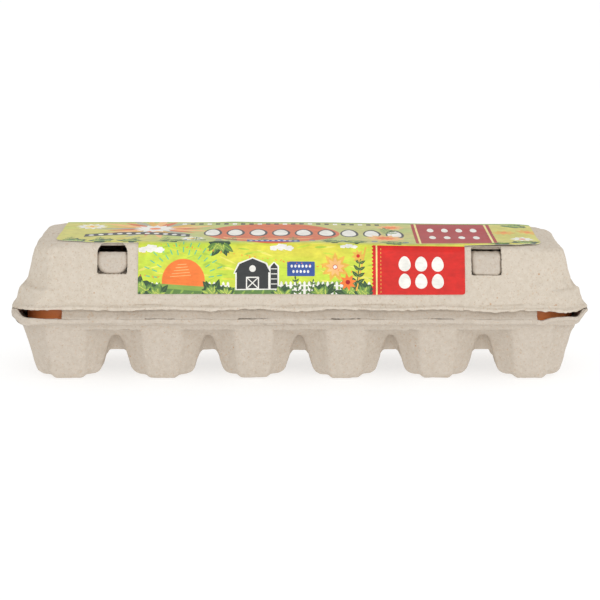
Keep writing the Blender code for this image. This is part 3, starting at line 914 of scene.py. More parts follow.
def end_wall(z):
    """Half length of the lid's outer surface at a height above its shoulder."""
    return ABOVE_SHOULDER_HALF_LENGTH - END_LEAN * (z - (SHOULDER_Z + SHOULDER_HEIGHT))


def lid_section():
    """The lid's section from its outer rim up to the middle of its top, then down the inside to the rim.

    Each stretch is its end's half length, half depth, corner cut and height, and its number of steps."""
    t = WALL_THICKNESS
    step = SHOULDER_Z + SHOULDER_HEIGHT
    bend = TOP_BEND_Z
    deep = front_wall(bend)
    soft = SOFT_BEND * TOP_BEND_WIDTH
    flat_long = end_wall(bend) - TOP_BEND_WIDTH
    flat_deep = deep - TOP_BEND_WIDTH
    edge_z = LID_TOP_Z - 0.1 * MM
    spine = flat_deep - 0.5 * MM
    under_bend = bend - t / 2
    inside_long = flat_long - soft
    inside_deep = flat_deep - soft
    ceiling = LID_TOP_Z - PULP
    foot = WALL_FOOT_HALF_LENGTH
    foot_lean = (foot - SHOULDER_HALF_LENGTH) / (SHOULDER_Z - WALL_FOOT_Z)
    above_foot = WALL_FOOT_Z + 1.2 * MM
    fine = 1.0

    def inside(half_length, cut, z, steps):
        return (half_length - t, front_wall(z) - t, cut - CUT_INSET, z, steps)

    stretches = [
        (LIP_HALF_LENGTH, LIP_HALF_DEPTH, RIM_CUT, LID_RIM_Z, 1),
        (LIP_HALF_LENGTH, LIP_HALF_DEPTH, RIM_CUT, LID_RIM_Z + FLANGE_THICKNESS, 5),
        (foot, WALL_FOOT_HALF_DEPTH, RIM_CUT, WALL_FOOT_Z, 6),
        (foot - foot_lean * 1.2 * MM, front_wall(above_foot), RIM_CUT, above_foot, 6),
        (SHOULDER_HALF_LENGTH, front_wall(SHOULDER_Z), SHOULDER_CUT, SHOULDER_Z, 8),
        (ABOVE_SHOULDER_HALF_LENGTH, front_wall(step), ABOVE_SHOULDER_CUT, step, 8),
        (end_wall(bend), deep, BEND_CUT, bend, 19),
        (end_wall(bend) - soft, deep - soft, BEND_CUT, bend + (LID_TOP_Z - bend) / 2, 4),
        (flat_long, flat_deep, TOP_CUT, edge_z, 4),
        (flat_long - 12 * MM, flat_deep - 12 * MM, TOP_CUT / 2, LID_TOP_Z, 9),
        (flat_long - spine, flat_deep - spine, 0.2 * MM, LID_TOP_Z, 5),
        (inside_long - inside_deep + 0.4 * MM, 0.4 * MM, 0.2 * MM, ceiling, 1),
        (inside_long, inside_deep, TOP_CUT - CUT_INSET, ceiling, 5),
        inside(end_wall(under_bend), BEND_CUT, under_bend, 3),
        inside(ABOVE_SHOULDER_HALF_LENGTH, ABOVE_SHOULDER_CUT, step - t / 2, 7),
        inside(SHOULDER_HALF_LENGTH, SHOULDER_CUT, SHOULDER_Z - t / 2, 3),
        inside(foot, RIM_CUT, LID_RIM_Z, 6),
    ]
    levels = []
    for before, after in zip(stretches, stretches[1:]):
        steps = max(1, round(after[4] * fine))
        for k in range(steps):
            share = k / steps
            levels.append([a + (b - a) * share for a, b in zip(before[:4], after[:4])])
    levels.append(list(stretches[-1][:4]))
    return np.array(levels)


def softened(levels):
    """The section with its bends rounded; its rim and its middle stay."""
    eased = levels.copy()
    eased[2:-2] = (levels[1:-3] + 2 * levels[2:-2] + levels[3:-1]) / 4
    return eased


def lid_steps():
    """How many steps the lid's plan has along its front, along its end and along half a corner."""
    spacing = 0.95 * MM
    long = round(2 * LIP_HALF_LENGTH / spacing)
    short = round(2 * LIP_HALF_DEPTH / spacing)
    return long, short, max(3, round(RIM_CUT * 0.7 / spacing))


def across_spine(first):
    """Faces that close the narrow slot inside a ring of the lid's points, seen from above."""
    long, short, around = lid_steps()
    side = long + 1 + 4 * (around + 1)
    count = 2 * (side + short + 1)
    mirrored = count - short - 2
    faces = [(k, k + 1, mirrored - k - 1, mirrored - k) for k in range(side - 1)]
    faces += [(*range(mirrored, count), 0), tuple(range(side - 1, mirrored - side + 2))]
    return [tuple(first + k for k in face) for face in faces]


def lid_outline(half_length, half_depth, cut):
    """The lid's plan at one level: a rectangle whose corners are cut across, with a slight bulge.

    A shallow groove runs down where each cut meets the walls."""
    middle = cut * (0.5 - CORNER_BULGE)
    corner = [
        (half_length, half_depth - cut),
        (half_length - middle, half_depth - middle),
        (half_length - cut, half_depth),
    ]
    long, short, around = lid_steps()
    key_points = []
    for k, (sx, sy) in enumerate(((1, 1), (-1, 1), (-1, -1), (1, -1))):
        turned = corner if k % 2 == 0 else corner[::-1]
        key_points += [(sx * x, sy * y) for x, y in turned]
    counts = [around, around, long, around, around, short] * 2
    stretches = []
    for k, steps in enumerate(counts):
        a = np.array(key_points[k])
        b = np.array(key_points[(k + 1) % len(key_points)])
        bevel = min(CORNER_BEVEL / np.linalg.norm(b - a), 0.3)
        stretches.append(a + (b - a) * np.linspace(bevel, 1 - bevel, steps + 1)[:, None])
    pinch = min(CORNER_PINCH, 0.05 * cut)
    for k, stretch in enumerate(stretches):
        if k % 3 != 0:
            after = stretches[(k + 1) % len(stretches)]
            stretch[-1] -= pinch * np.sign(stretch[-1])
            after[0] -= pinch * np.sign(after[0])
    return np.concatenate(stretches)


def settle(points):
    """Moves points of the lid as the real one has settled.

    Its right end stands lower, its front top corners are bent down, and its front rim is wavy."""
    x, y, z = points.T
    share = np.clip((z - LID_RIM_Z) / (LID_TOP_Z - LID_RIM_Z), 0, 1)
    right_sag = RIGHT_SAG * (0.35 + 0.65 * smoothstep((0.025 - y) / 0.05))
    sag = LEFT_RISE - (LEFT_RISE + right_sag) * smoothstep((x + 0.01) / 0.095)
    lift = sag * share**0.6 + BACK_RISE * smoothstep(y / 0.03) * share
    beyond = np.abs(x) + np.abs(y) * 0.9
    bent = -BENT_CORNER_DROP * past(beyond, BENT_CORNER_REACH, 0.011) * past(-y, 0.008, 0.01) * share**3
    bent -= RIGHT_END_DROP * past(x, 0.117, 0.023) * past(y, -0.03, 0.03) * share**2
    low = 1 - past(z - LID_RIM_Z, 0.0016, 0.006)
    middle = smoothstep((0.122 - np.abs(x)) / 0.012)
    cups = np.cos((x - column_x(2)) / PITCH_X * math.tau)
    wave = RIM_RISE + RIM_CUP_WAVE * cups + RIM_LONG_WAVE * np.sin(x / 0.0071) * np.sin(x / 0.031 + 1)
    wave = wave * middle + RIM_RISE * (1 - middle) - RIM_RIGHT_DROP * past(x, 0.09, 0.02)
    torn = 0.13 * MM * random_line(x, 7 * MM, LID_SEED + 11)
    torn += 0.12 * MM * random_line(x, 2.4 * MM, LID_SEED + 12) * (1 + 0.7 * smoothstep(x / 0.1))
    torn = np.clip(torn, -RIM_TEAR_LIMIT, RIM_TEAR_LIMIT)
    rim = past(-y, 0.0465, 0.002) * low * (wave + torn * (1 - past(z, LID_RIM_Z, 0.0016)))
    droop = -RIGHT_CORNER_DROOP * low * past(x, 0.131, 0.008) * past(-y, 0.0425, 0.004)
    moved = points.copy()
    moved[:, 2] += lift + bent + rim + droop
    return moved


def under_label(points):
    """1 where the label lies on the lid, falling to 0 round it."""
    x, y, z = points.T
    on_top = past(z - LID_TOP_Z, -2.6 * MM, MM)
    on_top *= smoothstep((LABEL_HALF_LENGTH + 4 * MM - np.abs(x)) / (4 * MM))
    on_front = smoothstep((LABEL_FRONT_HALF_LENGTH + 6 * MM - np.abs(x)) / (4 * MM))
    on_front *= (y < 0) * (z > LABEL_BOTTOM_Z - 2 * MM)
    return np.maximum(on_top, on_front)


def build_lid(material):
    """The lid as one sheet of rings of points, from its rim over the top and back down inside."""
    levels = lid_section()
    spine = int(np.argmin(levels[:, 1]))
    levels = np.concatenate([softened(levels[:spine]), softened(levels[spine:])])
    outlines = []
    for half_length, half_depth, cut, z in levels:
        flat = lid_outline(half_length, half_depth, cut)
        outlines.append(np.column_stack([flat, np.full(len(flat), z)]))
    count = len(outlines[0])
    points = settle(np.concatenate(outlines))
    faces = grid_faces(spine, count, closed=True)
    faces += grid_faces(len(levels) - spine, count, spine * count, closed=True)
    faces += across_spine((spine - 1) * count)
    faces += [face[::-1] for face in across_spine(spine * count)]
    faces += band(range(len(points) - count, len(points)), range(count))
    lid = new_piece("pulp_lid", points, faces, material)
    roughen(lid, LID_SEED, calm=0.85 * under_label(points))
    crumple(lid)
    crease(lid)
    cut_windows(lid, material)
    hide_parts("lid")
    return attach(lid, "lid")


def crumple(lid):
    """Dents the shoulder at the front corners, mostly at the right."""
    points = vertex_values(lid.data)
    x, y, z = points.T
    at_shoulder = np.exp(-(((z - SHOULDER_Z - 0.001) / 0.0045) ** 2))
    at_corners = past(-y, 0.022, 0.012) * at_shoulder * (past(x, 0.112, 0.014) + 0.4 * past(-x, 0.118, 0.014))
    dents = CRUMPLE_DEPTH * random_field(points * [1, 1, 1.6], 9 * MM, LID_SEED + 21)
    set_positions(lid.data, pushed_out(lid.data, dents * at_corners))


def crease(lid):
    """Presses a broken groove into the lid's front wall, just above the rim."""
    points = vertex_values(lid.data)
    x, y, z = points.T
    line = CREASE_Z + 0.25 * MM * np.sin(x / 0.017) + 0.2 * MM * np.sin(x / 0.0062 + 1)
    depth = np.exp(-(((z - line) / CREASE_HALF_WIDTH) ** 2))
    broken = 0.55 + 0.45 * random_line(x, 22 * MM, LID_SEED + 7)
    outside = y < -(front_wall(CREASE_Z) - 1.0 * MM)
    points[:, 1] += CREASE_DEPTH * depth * np.clip(broken, 0, 1) * outside
    set_positions(lid.data, points)


def cut_windows(lid, material):
    """Cuts the two latch windows, with the slightly torn edges of punched pulp."""
    cutters = []
    windows = ((-WINDOW_X, LEFT_WINDOW), (WINDOW_X, RIGHT_WINDOW))
    for k, (middle, (lower, higher, radii)) in enumerate(windows):
        low = (middle - WINDOW_WIDTH / 2, WINDOW_BOTTOM_Z - lower * MM)
        high = (middle + WINDOW_WIDTH / 2, WINDOW_TOP_Z + higher * MM)
        line = ragged(rounded_box(low, high, [radius * MM for radius in radii]), 0.1 * MM, 40 + k)
        count = len(line)
        points = [(x, -LIP_HALF_DEPTH, z) for x, z in line]
        points += [(x, -WINDOW_CUT_BACK, z) for x, z in line]
        faces = [tuple(range(count)), tuple(range(2 * count - 1, count - 1, -1))]
        for i in range(count):
            after = (i + 1) % count
            faces.append((i, count + i, count + after, after))
        cutters.append(new_piece(f"window_cutter_{k}", points, faces, material))
    for cutter in cutters:
        cut = lid.modifiers.new(cutter.name, "BOOLEAN")
        cut.operation = "DIFFERENCE"
        cut.solver = "EXACT"
        cut.object = cutter
    lid.modifiers.new("crisp_facets", "WEIGHTED_NORMAL")
    apply_modifiers(lid)
    for cutter in cutters:
        bpy.data.objects.remove(cutter, do_unlink=True)


# The label


def smooth_line(points, spacing, passes):
    """A polyline drawn with even steps and with its corners rounded."""
    points = np.array(points)
    lengths = np.linalg.norm(np.diff(points, axis=0), axis=1)
    along = np.concatenate([[0], np.cumsum(lengths)])
    even = np.linspace(0, along[-1], round(along[-1] / spacing) + 1)
    line = np.column_stack([np.interp(even, along, points[:, k]) for k in range(points.shape[1])])
    for _ in range(passes):
        line[1:-1] = (line[:-2] + 2 * line[1:-1] + line[2:]) / 4
    return line


def label_profile():
    """The label's middle line as (y, z), from its bottom edge up the front and back over the top."""
    bend = front_wall(TOP_BEND_Z)
    soft = SOFT_BEND * TOP_BEND_WIDTH
    lift = LABEL_GAP + 0.1 * MM
    lean = math.atan(FRONT_LEAN)
    out = lift * math.cos(lean)
    up = lift * math.sin(lean)
    return smooth_line(
        [
            (-front_wall(LABEL_BOTTOM_Z) - out, LABEL_BOTTOM_Z + up),
            (-bend - out, TOP_BEND_Z + up),
            (-(bend - soft) - 0.7 * lift, (TOP_BEND_Z + LID_TOP_Z) / 2 + 0.7 * lift),
            (-(bend - TOP_BEND_WIDTH), LID_TOP_Z + lift),
            (LABEL_BACK_Y, LID_TOP_Z + lift),
        ],
        0.25 * MM,
        24,
    )


# The print on the label. Its shapes are in millimetres: u along the carton from its middle, v up the
# front from the label's bottom edge and on over the top.

RED_PANEL_TOP = 27.0
INKS = {
    "paper": rgb(246, 244, 236),
    "lime": rgb(203, 226, 74),
    "yellow": rgb(230, 222, 78),
    "lemon": rgb(240, 234, 112),
    "fresh": rgb(178, 210, 74),
    "sage": rgb(196, 186, 110),
    # haze is the grey used to paint sheen and shade onto the top panel's ground, and it is also a petal ink.
    "haze": rgb(178, 178, 154),
    "rust": rgb(224, 112, 62),
    "gold": rgb(236, 184, 78),
    "leaf": rgb(146, 178, 84),
    "moss": rgb(100, 136, 72),
    "pine": rgb(58, 86, 58),
    "teal": rgb(104, 200, 150),
    "orange": rgb(250, 130, 58),
    "peach": rgb(250, 192, 124),
    "red": rgb(216, 38, 30),
    "deep_red": rgb(176, 26, 30),
    "cream": rgb(246, 230, 150),
    "blue": rgb(58, 88, 160),
    "charcoal": rgb(56, 58, 58),
}


def turned(shape, u, v, turn):
    """A shape drawn round (0, 0), turned by some degrees and moved to (u, v)."""
    c = math.cos(math.radians(turn))
    s = math.sin(math.radians(turn))
    return [(u + a * c - b * s, v + a * s + b * c) for a, b in shape]


def oval(u, v, half_width, half_height, turn=0.0, steps=36):
    points = []
    for k in range(steps):
        around = math.tau * k / steps
        points.append((half_width * math.cos(around), half_height * math.sin(around)))
    return turned(points, u, v, turn)


def egg_shape(u, v, half_height, slimness=1.0):
    """An egg seen from the side, its narrow end up; slimness draws it narrower."""
    points = []
    for k in range(32):
        turn = math.tau * k / 32
        reach = 0.76 * half_height / slimness * math.sin(turn) * (1 - 0.14 * math.cos(turn))
        points.append((u + reach, v + half_height * math.cos(turn)))
    return points


def blade(u, v, length, width, turn, steps=6):
    """A leaf with two pointed ends, growing from (u, v)."""
    points = []
    for side in (1, -1):
        for k in range(steps):
            share = k / steps if side > 0 else 1 - k / steps
            points.append((length * share, side * width / 2 * math.sin(math.pi * share**0.8)))
    return turned(points, u, v, turn)


def stroke(u, v, length, width, turn):
    """A straight dash, growing from (u, v)."""
    half = width / 2
    return turned(((0, -half), (length, -half), (length, half), (0, half)), u, v, turn)


def bush(u, v, radius, seed, squash=0.8):
    """A round clump with an uneven edge."""
    draw = np.random.default_rng(seed)
    phases = draw.uniform(0, math.tau, 3)
    points = []
    for k in range(40):
        turn = math.tau * k / 40
        uneven = 1 + 0.10 * math.sin(5 * turn + phases[0]) + 0.07 * math.sin(9 * turn + phases[1])
        points.append((u + radius * uneven * math.cos(turn), v + squash * radius * uneven * math.sin(turn)))
    return points


def hill(start, end, bottom, top, swell, waves, phase):
    """A strip of land whose upper edge rolls."""
    points = [(start, bottom), (end, bottom)]
    steps = max(12, round((end - start) / 2.0))
    for k in range(steps + 1):
        u = end + (start - end) * k / steps
        points.append((u, top + swell * math.sin(waves * u / 40 + phase)))
    return points


class Print:
    """The shapes of the print, the lowest first, each with its ink."""

    def __init__(self):
        self.shapes = []
        self.inks = []

    def add(self, points, ink):
        self.shapes.append([(u * MM, v * MM) for u, v in points])
        self.inks.append(ink)

    def washes(self, left, right, low, high, count, seed, inks=("fresh", "lemon", "lime", "yellow")):
        """Loose brush strokes, by default in neighbouring greens and yellows."""
        draw = np.random.default_rng(seed)
        for k in range(count):
            u = draw.uniform(left, right)
            v = draw.uniform(low, high)
            size = (draw.uniform(4, 11), draw.uniform(0.5, 1.4))
            self.add(blade(u, v, *size, draw.uniform(-25, 25)), inks[k % len(inks)])

    def foliage(self, u, v, size, seed, turned=0):
        """A mass of broad overlapping leaves, dark behind and light in front, with pale veins."""
        draw = np.random.default_rng(seed)
        self.add(bush(u, v + (-0.1 if turned else 0.3) * size, 0.72 * size, seed), "pine")
        for ink, vein, reach in (("pine", "moss", 1.0), ("moss", "fresh", 0.86), ("leaf", "lemon", 0.64)):
            for k in range(6):
                turn = turned + 15 + 150 * (k + draw.uniform(0.1, 0.9)) / 6
                length = size * reach * draw.uniform(0.75, 1.1)
                a = u + draw.uniform(-0.35, 0.35) * size
                b = v + draw.uniform(-0.05, 0.25) * size * (-1 if turned else 1)
                self.add(blade(a, b, length, length * 0.46, turn), ink)
                self.add(stroke(a, b, length * 0.8, 0.2, turn), vein)

    def foliage_row(self, places, seed):
        for k, (u, v, size) in enumerate(places):
            self.foliage(u, v, size, seed + k)

    def cloud(self, u, v, size):
        for k, (along, rise, share) in enumerate(((-1.3, 0, 0.7), (0, 0.25, 1.0), (1.35, 0, 0.75))):
            self.add(bush(u + along * size, v + rise * size, size * share, 400 + k, 0.62), "paper")

    def fence(self, start, end, low, high):
        """White pickets on two rails."""
        for rail in (0.3, 0.7):
            v = low + rail * (high - low)
            self.add([(start, v), (end, v), (end, v + 0.7), (start, v + 0.7)], "paper")
        for u in np.arange(start, end, 2.4):
            tip = high + 0.9
            self.add([(u, low), (u + 1.3, low), (u + 1.3, high), (u + 0.65, tip), (u, high)], "paper")

    def ribbon(self, start, end, low, high, rise, ink, dots):
        """A band that arches by rise between its ends, with a row of white dots along it."""
        edge = []
        for k in range(17):
            share = k / 16
            edge.append((start + (end - start) * share, rise * math.sin(math.pi * share)))
        lower = [(u, low + lift) for u, lift in edge]
        upper = [(u, high + lift) for u, lift in reversed(edge)]
        self.add(lower + upper, ink)
        for k in range(dots):
            share = (k + 0.7) / (dots + 0.4)
            u = start + (end - start) * share
            v = (low + high) / 2 + rise * math.sin(math.pi * share)
            self.add(oval(u, v, 0.30 * (end - start) / dots, 0.24 * (high - low), 0, 10), "paper")

    def daisy(self, u, v, radius, petals, ink, heart):
        for k in range(petals):
            self.add(blade(u, v, radius, radius * 0.42, 360 * k / petals + 10), ink)
        self.add(oval(u, v, radius * 0.26, radius * 0.26), heart)

    def sprig(self, u, v, length, turn, leaves, ink, vein):
        """A stem with leaves in pairs, and a light line along each leaf."""
        self.add(stroke(u, v, length, 0.5, turn), ink)
        for k in range(leaves):
            place = away(u, v, length * (k + 0.6) / leaves, turn)
            size = length * 0.34 * (1 - 0.35 * k / leaves)
            for side in (52, -52):
                self.add(blade(*place, size, size * 0.42, turn + side), ink)
                self.add(stroke(*place, size * 0.7, 0.18, turn + side), vein)
        self.add(blade(*away(u, v, length, turn), length * 0.25, length * 0.1, turn), ink)


def print_front(art):
    """The front panel: fields under a low sun, a barn, flowers, and a red end panel with six eggs."""
    art.washes(-84, 37, 1.0, 28.0, 110, 201)
    sun_u, sun_v = -60, 7.5
    for k in range(15):
        turn = 8 + 164 * k / 14
        for start in (13.4, 17.6):
            reach = start + 1.2 * (k % 2)
            art.add(stroke(*away(sun_u, sun_v, reach, turn), 2.7, 0.55, turn), "teal")
    art.add(oval(sun_u, sun_v, 11.2, 11.2, steps=64), "orange")
    for k in range(5):
        art.add(stroke(sun_u - 7 + k, sun_v + 2.2 + 1.5 * k, 11 - 1.6 * k, 0.32, 4), "peach")
    art.add(hill(-90, 37.5, -2, 5.4, 1.3, 2.4, 0.5), "leaf")
    art.add(hill(-90, 37.5, -2, 3.2, 1.1, 3.3, 2.0), "moss")
    for k in range(24):
        u = -88 + 5.3 * k
        art.add(blade(u, 0.3 + 1.2 * math.sin(k * 1.7), 3.2, 1.1, 62 + 12 * math.sin(k)), "leaf")
    for start, end in ((-84, -72), (-47, -36), (-12, 37)):
        art.fence(start, end, 0.2, 6.2)
    art.foliage_row(((-82, 1, 8.5), (-74, 0, 6.0), (-45, 0, 7.0), (-38, 0, 5.0)), 210)
    art.foliage(-41, 27.5, 7.5, 220, 180)
    for u, v, size in ((-77, 23.4, 3.3), (-9, 24.2, 3.0), (26, 25.6, 2.2)):
        art.cloud(u, v, size)
    print_barn(art, -24.0, 3.2)
    art.foliage(-8, -1, 6.0, 221)
    art.add(rounded_box((-6, 9.6), (8.4, 17.2), (0.5,) * 4), "blue")
    for row in range(2):
        for k in range(6 - row):
            art.add(oval(-3.6 + 1.9 * k + 0.9 * row, 14.8 - 2.8 * row, 0.62, 0.8, 0, 10), "paper")
    for k, (u, turn) in enumerate(((0, 100), (5.5, 76))):
        art.sprig(u, -1.0, 9 - 1.3 * k, turn, 3, "pine", "leaf")
    art.foliage_row(((12, -0.5, 6.5), (28, -0.5, 8.0), (34.5, -0.5, 7.0)), 230)
    art.add(stroke(30.0, 2.0, 24, 0.9, 78), "gold")
    art.sprig(30.0, 4.0, 14, 82, 4, "pine", "leaf")
    flower = (19.0, 14.5)
    art.daisy(*flower, 7.8, 9, "gold", "red")
    art.daisy(*flower, 5.0, 9, "peach", "red")
    art.add(oval(*flower, 1.0, 1.0, steps=16), "paper")
    art.daisy(25.6, 6.6, 4.6, 8, "orange", "deep_red")
    art.daisy(31.0, 20.6, 3.6, 8, "gold", "red")
    for k in range(40):
        u = -84 + 121 * ((k * 0.618) % 1.0)
        v = 9 + 17.5 * ((k * 0.381 + 0.13) % 1.0)
        art.add(oval(u, v, 0.28 + 0.26 * (k % 3), 0.24, 40 * k, 8), "orange")
    print_red_panel(art, 38.0, 5.4, 12.2)


def print_barn(art, u, v):
    """A white-edged charcoal barn with a silo, about as large as a badge."""
    edge = 0.55
    roof = [(-9.2, 8.4), (-6.8, 12.8), (0, 15.6), (6.8, 12.8), (9.2, 8.4)]
    walls = [(-8.2, 0), (8.2, 0), (8.2, 8.6), (-8.2, 8.6)]
    silo = [(9.4, 0), (13.0, 0), (13.0, 11.2), (11.2, 13.4), (9.4, 11.2)]
    for outline in (walls, roof, silo):
        sides = np.sign(outline - np.mean(outline, axis=0))
        art.add((u, v) + np.array(outline) + edge * sides * (1.4, 1), "paper")
    for outline in (walls, roof, silo):
        art.add([(u + a, v + b) for a, b in outline], "charcoal")
    art.add(rounded_box((u - 3.4, v), (u + 3.4, v + 6.2), (0, 0.4, 0.4, 0)), "paper")
    art.add(rounded_box((u - 2.8, v + 0.3), (u + 2.8, v + 5.6), (0, 0.2, 0.2, 0)), "charcoal")
    art.add(stroke(u - 2.7, v + 0.5, 7.3, 0.5, 43), "paper")
    art.add(stroke(u + 2.7, v + 0.5, 7.3, 0.5, 137), "paper")
    art.add(oval(u, v + 10.4, 1.7, 1.7, steps=24), "paper")
    for k in range(4):
        art.add(stroke(u + 9.6, v + 2.4 + 2.6 * k, 3.2, 0.4, 0), "paper")


def print_red_panel(art, start, size, middle):
    """A plain red end panel with a saw-tooth edge, a cream stripe, a row of stitches and six eggs.

    It runs past the label's edge, where the paper is cut off."""
    end = 90.0
    bottom = -3.0
    top = RED_PANEL_TOP
    teeth = [(end, bottom), (end, top)]
    count = 15
    for k in range(count + 1):
        v = top - (top - bottom) * k / count
        teeth += [(start + 0.9, v), (start, v - 1.0)]
    art.add(teeth, "red")
    art.add(rounded_box((start + 2.2, bottom), (start + 3.0, top), (0.1,) * 4, 1), "cream")
    for k in range(12):
        art.add(stroke(start + 4.8, 1.0 + 2.1 * k, 1.0, 0.34, 90), "gold")
    for row in range(2):
        for column in range(3):
            u = start + 17.2 + column * 8.6
            v = middle + (0.5 - row) * (size * 1.75)
            art.add(egg_shape(u, v, size * 0.76), "paper")


def print_top(art):
    """The top panel: seen very flat from the front, so its motifs are drawn deep."""
    art.washes(-128, 128, 30.0, 104.0, 100, 301, ("fresh", "sage", "yellow", "cream", "gold"))
    art.add(hill(-130, 131, 97, 110.0, 0.0, 1.2, 0.4), "leaf")
    art.add(hill(-130, -40, 99.5, 110.0, 0.0, 1.2, 0.4), "lemon")
    for k in range(22):
        turn = 360 * k / 22
        ink = ("rust", "peach", "gold", "haze")[k % 4]
        art.add(blade(*away(-78, 76, 5, turn), 30 if k % 2 else 22, 5.0, turn), ink)
    art.daisy(-78, 76, 12, 14, "paper", "orange")
    art.add(oval(-14, 60, 36, 33, steps=72), "rust")
    art.add(oval(-16, 44, 24, 9, steps=40), "peach")
    art.add(oval(-15, 47, 25, 9, steps=40), "rust")
    art.ribbon(-114, -58, 46, 56, 8, "charcoal", 11)
    for k in range(9):
        u = -46 + 12.2 * k
        art.add(egg_shape(u, 62, 13.5, 2.1), "charcoal")
        art.add(egg_shape(u - 0.2, 62, 11.0, 2.2), "paper")
    for k in range(24):
        art.add(stroke(-64 + 4.6 * k, 93, 2.4, 5.0, 0), "charcoal" if k % 3 else "paper")
    art.ribbon(-27, 0.5, 28.8, 33.2, 0, "blue", 9)
    for k in range(16):
        art.add(stroke(-60 + 8.2 * k, 34.4, 3.0, 2.4, 0), "charcoal" if k % 2 else "blue")
    for k, (u, v, radius) in enumerate(((-113, 84, 9), (46, 48, 11), (-56, 40, 7), (50, 84, 8))):
        art.daisy(u, v, radius, 12, "peach" if k % 2 else "paper", "gold")
        art.daisy(u, v, radius * 0.55, 12, "orange" if k % 2 else "cream", "orange")
    for k in range(9):
        art.sprig(-122 + 17 * k, 32.0, 11, 82 + 9 * math.sin(2.1 * k), 3, "moss", "leaf")
    low_leaves = ((-118, 9), (-104, 8), (-88, 7), (-66, 6), (18, 6), (30, 7), (50, 7))
    art.foliage_row([(u, 30.0, size) for u, size in low_leaves], 320)
    art.add(rounded_box((61.7, 32), (104.7, 97), (1.0,) * 4), "deep_red")
    for start in (63.4, 101.8):
        art.add(rounded_box((start, 32), (start + 1.1, 97), (0.1,) * 4, 1), "cream")
    for column in range(4):
        for row in range(2):
            art.add(egg_shape(71.5 + 7.8 * column, 54 + 23 * row, 5.2, 2.2), "paper")
    for k, (u, v) in enumerate(((111, 70), (119, 50), (124, 74))):
        art.daisy(u, v, 7, 10, "paper" if k % 2 else "gold", "orange")
    art.foliage_row(((119, 34, 9), (106, 29, 7), (119, 88, 8)), 340)
    art.sprig(50, 62, 18, 100, 4, "moss", "lime")


def label_outline(length):
    """The label's flat outline in metres: a wide top panel and a narrower front panel below it."""
    wide = LABEL_HALF_LENGTH
    narrow = LABEL_FRONT_HALF_LENGTH
    step = FRONT_PANEL_TOP
    points = []
    shift = LABEL_FRONT_SHIFT
    for side, end, v, radii, start in (
        (1, narrow + shift, 0.0, (1.5, 1.5), -90),
        (1, wide, step, RIGHT_SWEEP, -90),
        (1, wide, length, (1.5, 1.5), 0),
        (-1, -wide, length, (1.5, 1.5), 90),
        (-1, -wide, step, LEFT_SWEEP, 180),
        (-1, shift - narrow, 0.0, (1.0, 1.0), 180),
    ):
        if v == step and side > 0:
            points.append((shift + narrow, step))
        reach = radii[0] * MM
        rise = radii[1] * MM
        u = end - side * reach
        middle_v = v - rise if v == length else v + rise
        for k in range(9):
            turn = math.radians(start + 11.25 * k)
            points.append((u + reach * math.cos(turn), middle_v + rise * math.sin(turn)))
        if v == step and side < 0:
            points.append((shift - narrow, step))
    return points


def background_ink(flat):
    """The ground colour of the print at each point: lime at the left, running to yellow at the right. Over
    the top panel it is greyed toward haze, less at the ends, as a painted sheen and painted shade for a top
    seen at a grazing angle.
    """
    u, v = flat.T
    clouds = random_field(np.column_stack([flat, 0 * u]) * [1, 1.6, 1], 30 * MM, LABEL_SEED + 3)
    on_top = past(v, 0.026, 0.004)
    at_ends = past(np.abs(u), 0.06, 0.03)
    yellow = 0.45 * past(u, -0.05, 0.09) + 0.25 * past(v, 0.008, 0.02) + 0.28 * clouds + on_top * at_ends
    share = np.clip(yellow, 0, 1)[:, None]
    ground = (1 - share) * np.array(INKS["lime"]) + share * np.array(INKS["yellow"])
    # Painted sheen and shade: the top panel's ground is greyed toward haze.
    painted_sheen_and_shade = ((0.5 - 0.2 * at_ends) * on_top)[:, None]
    return (1 - painted_sheen_and_shade) * ground + painted_sheen_and_shade * np.array(INKS["haze"])


def paint(label, triangles, inks, ground):
    """Gives the corners of the label's front their shape's ink, or the ground's, and the rest paper."""
    colors = label.data.color_attributes.new("ink", "FLOAT_COLOR", "CORNER")
    corner_colors = []
    for triangle, ink in zip(triangles, inks):
        for corner in triangle:
            corner_colors += INKS[ink] if ink else tuple(ground[corner])
    blank = len(colors.data) - len(corner_colors) // 4
    colors.data.foreach_set("color", corner_colors + list(INKS["paper"]) * blank)


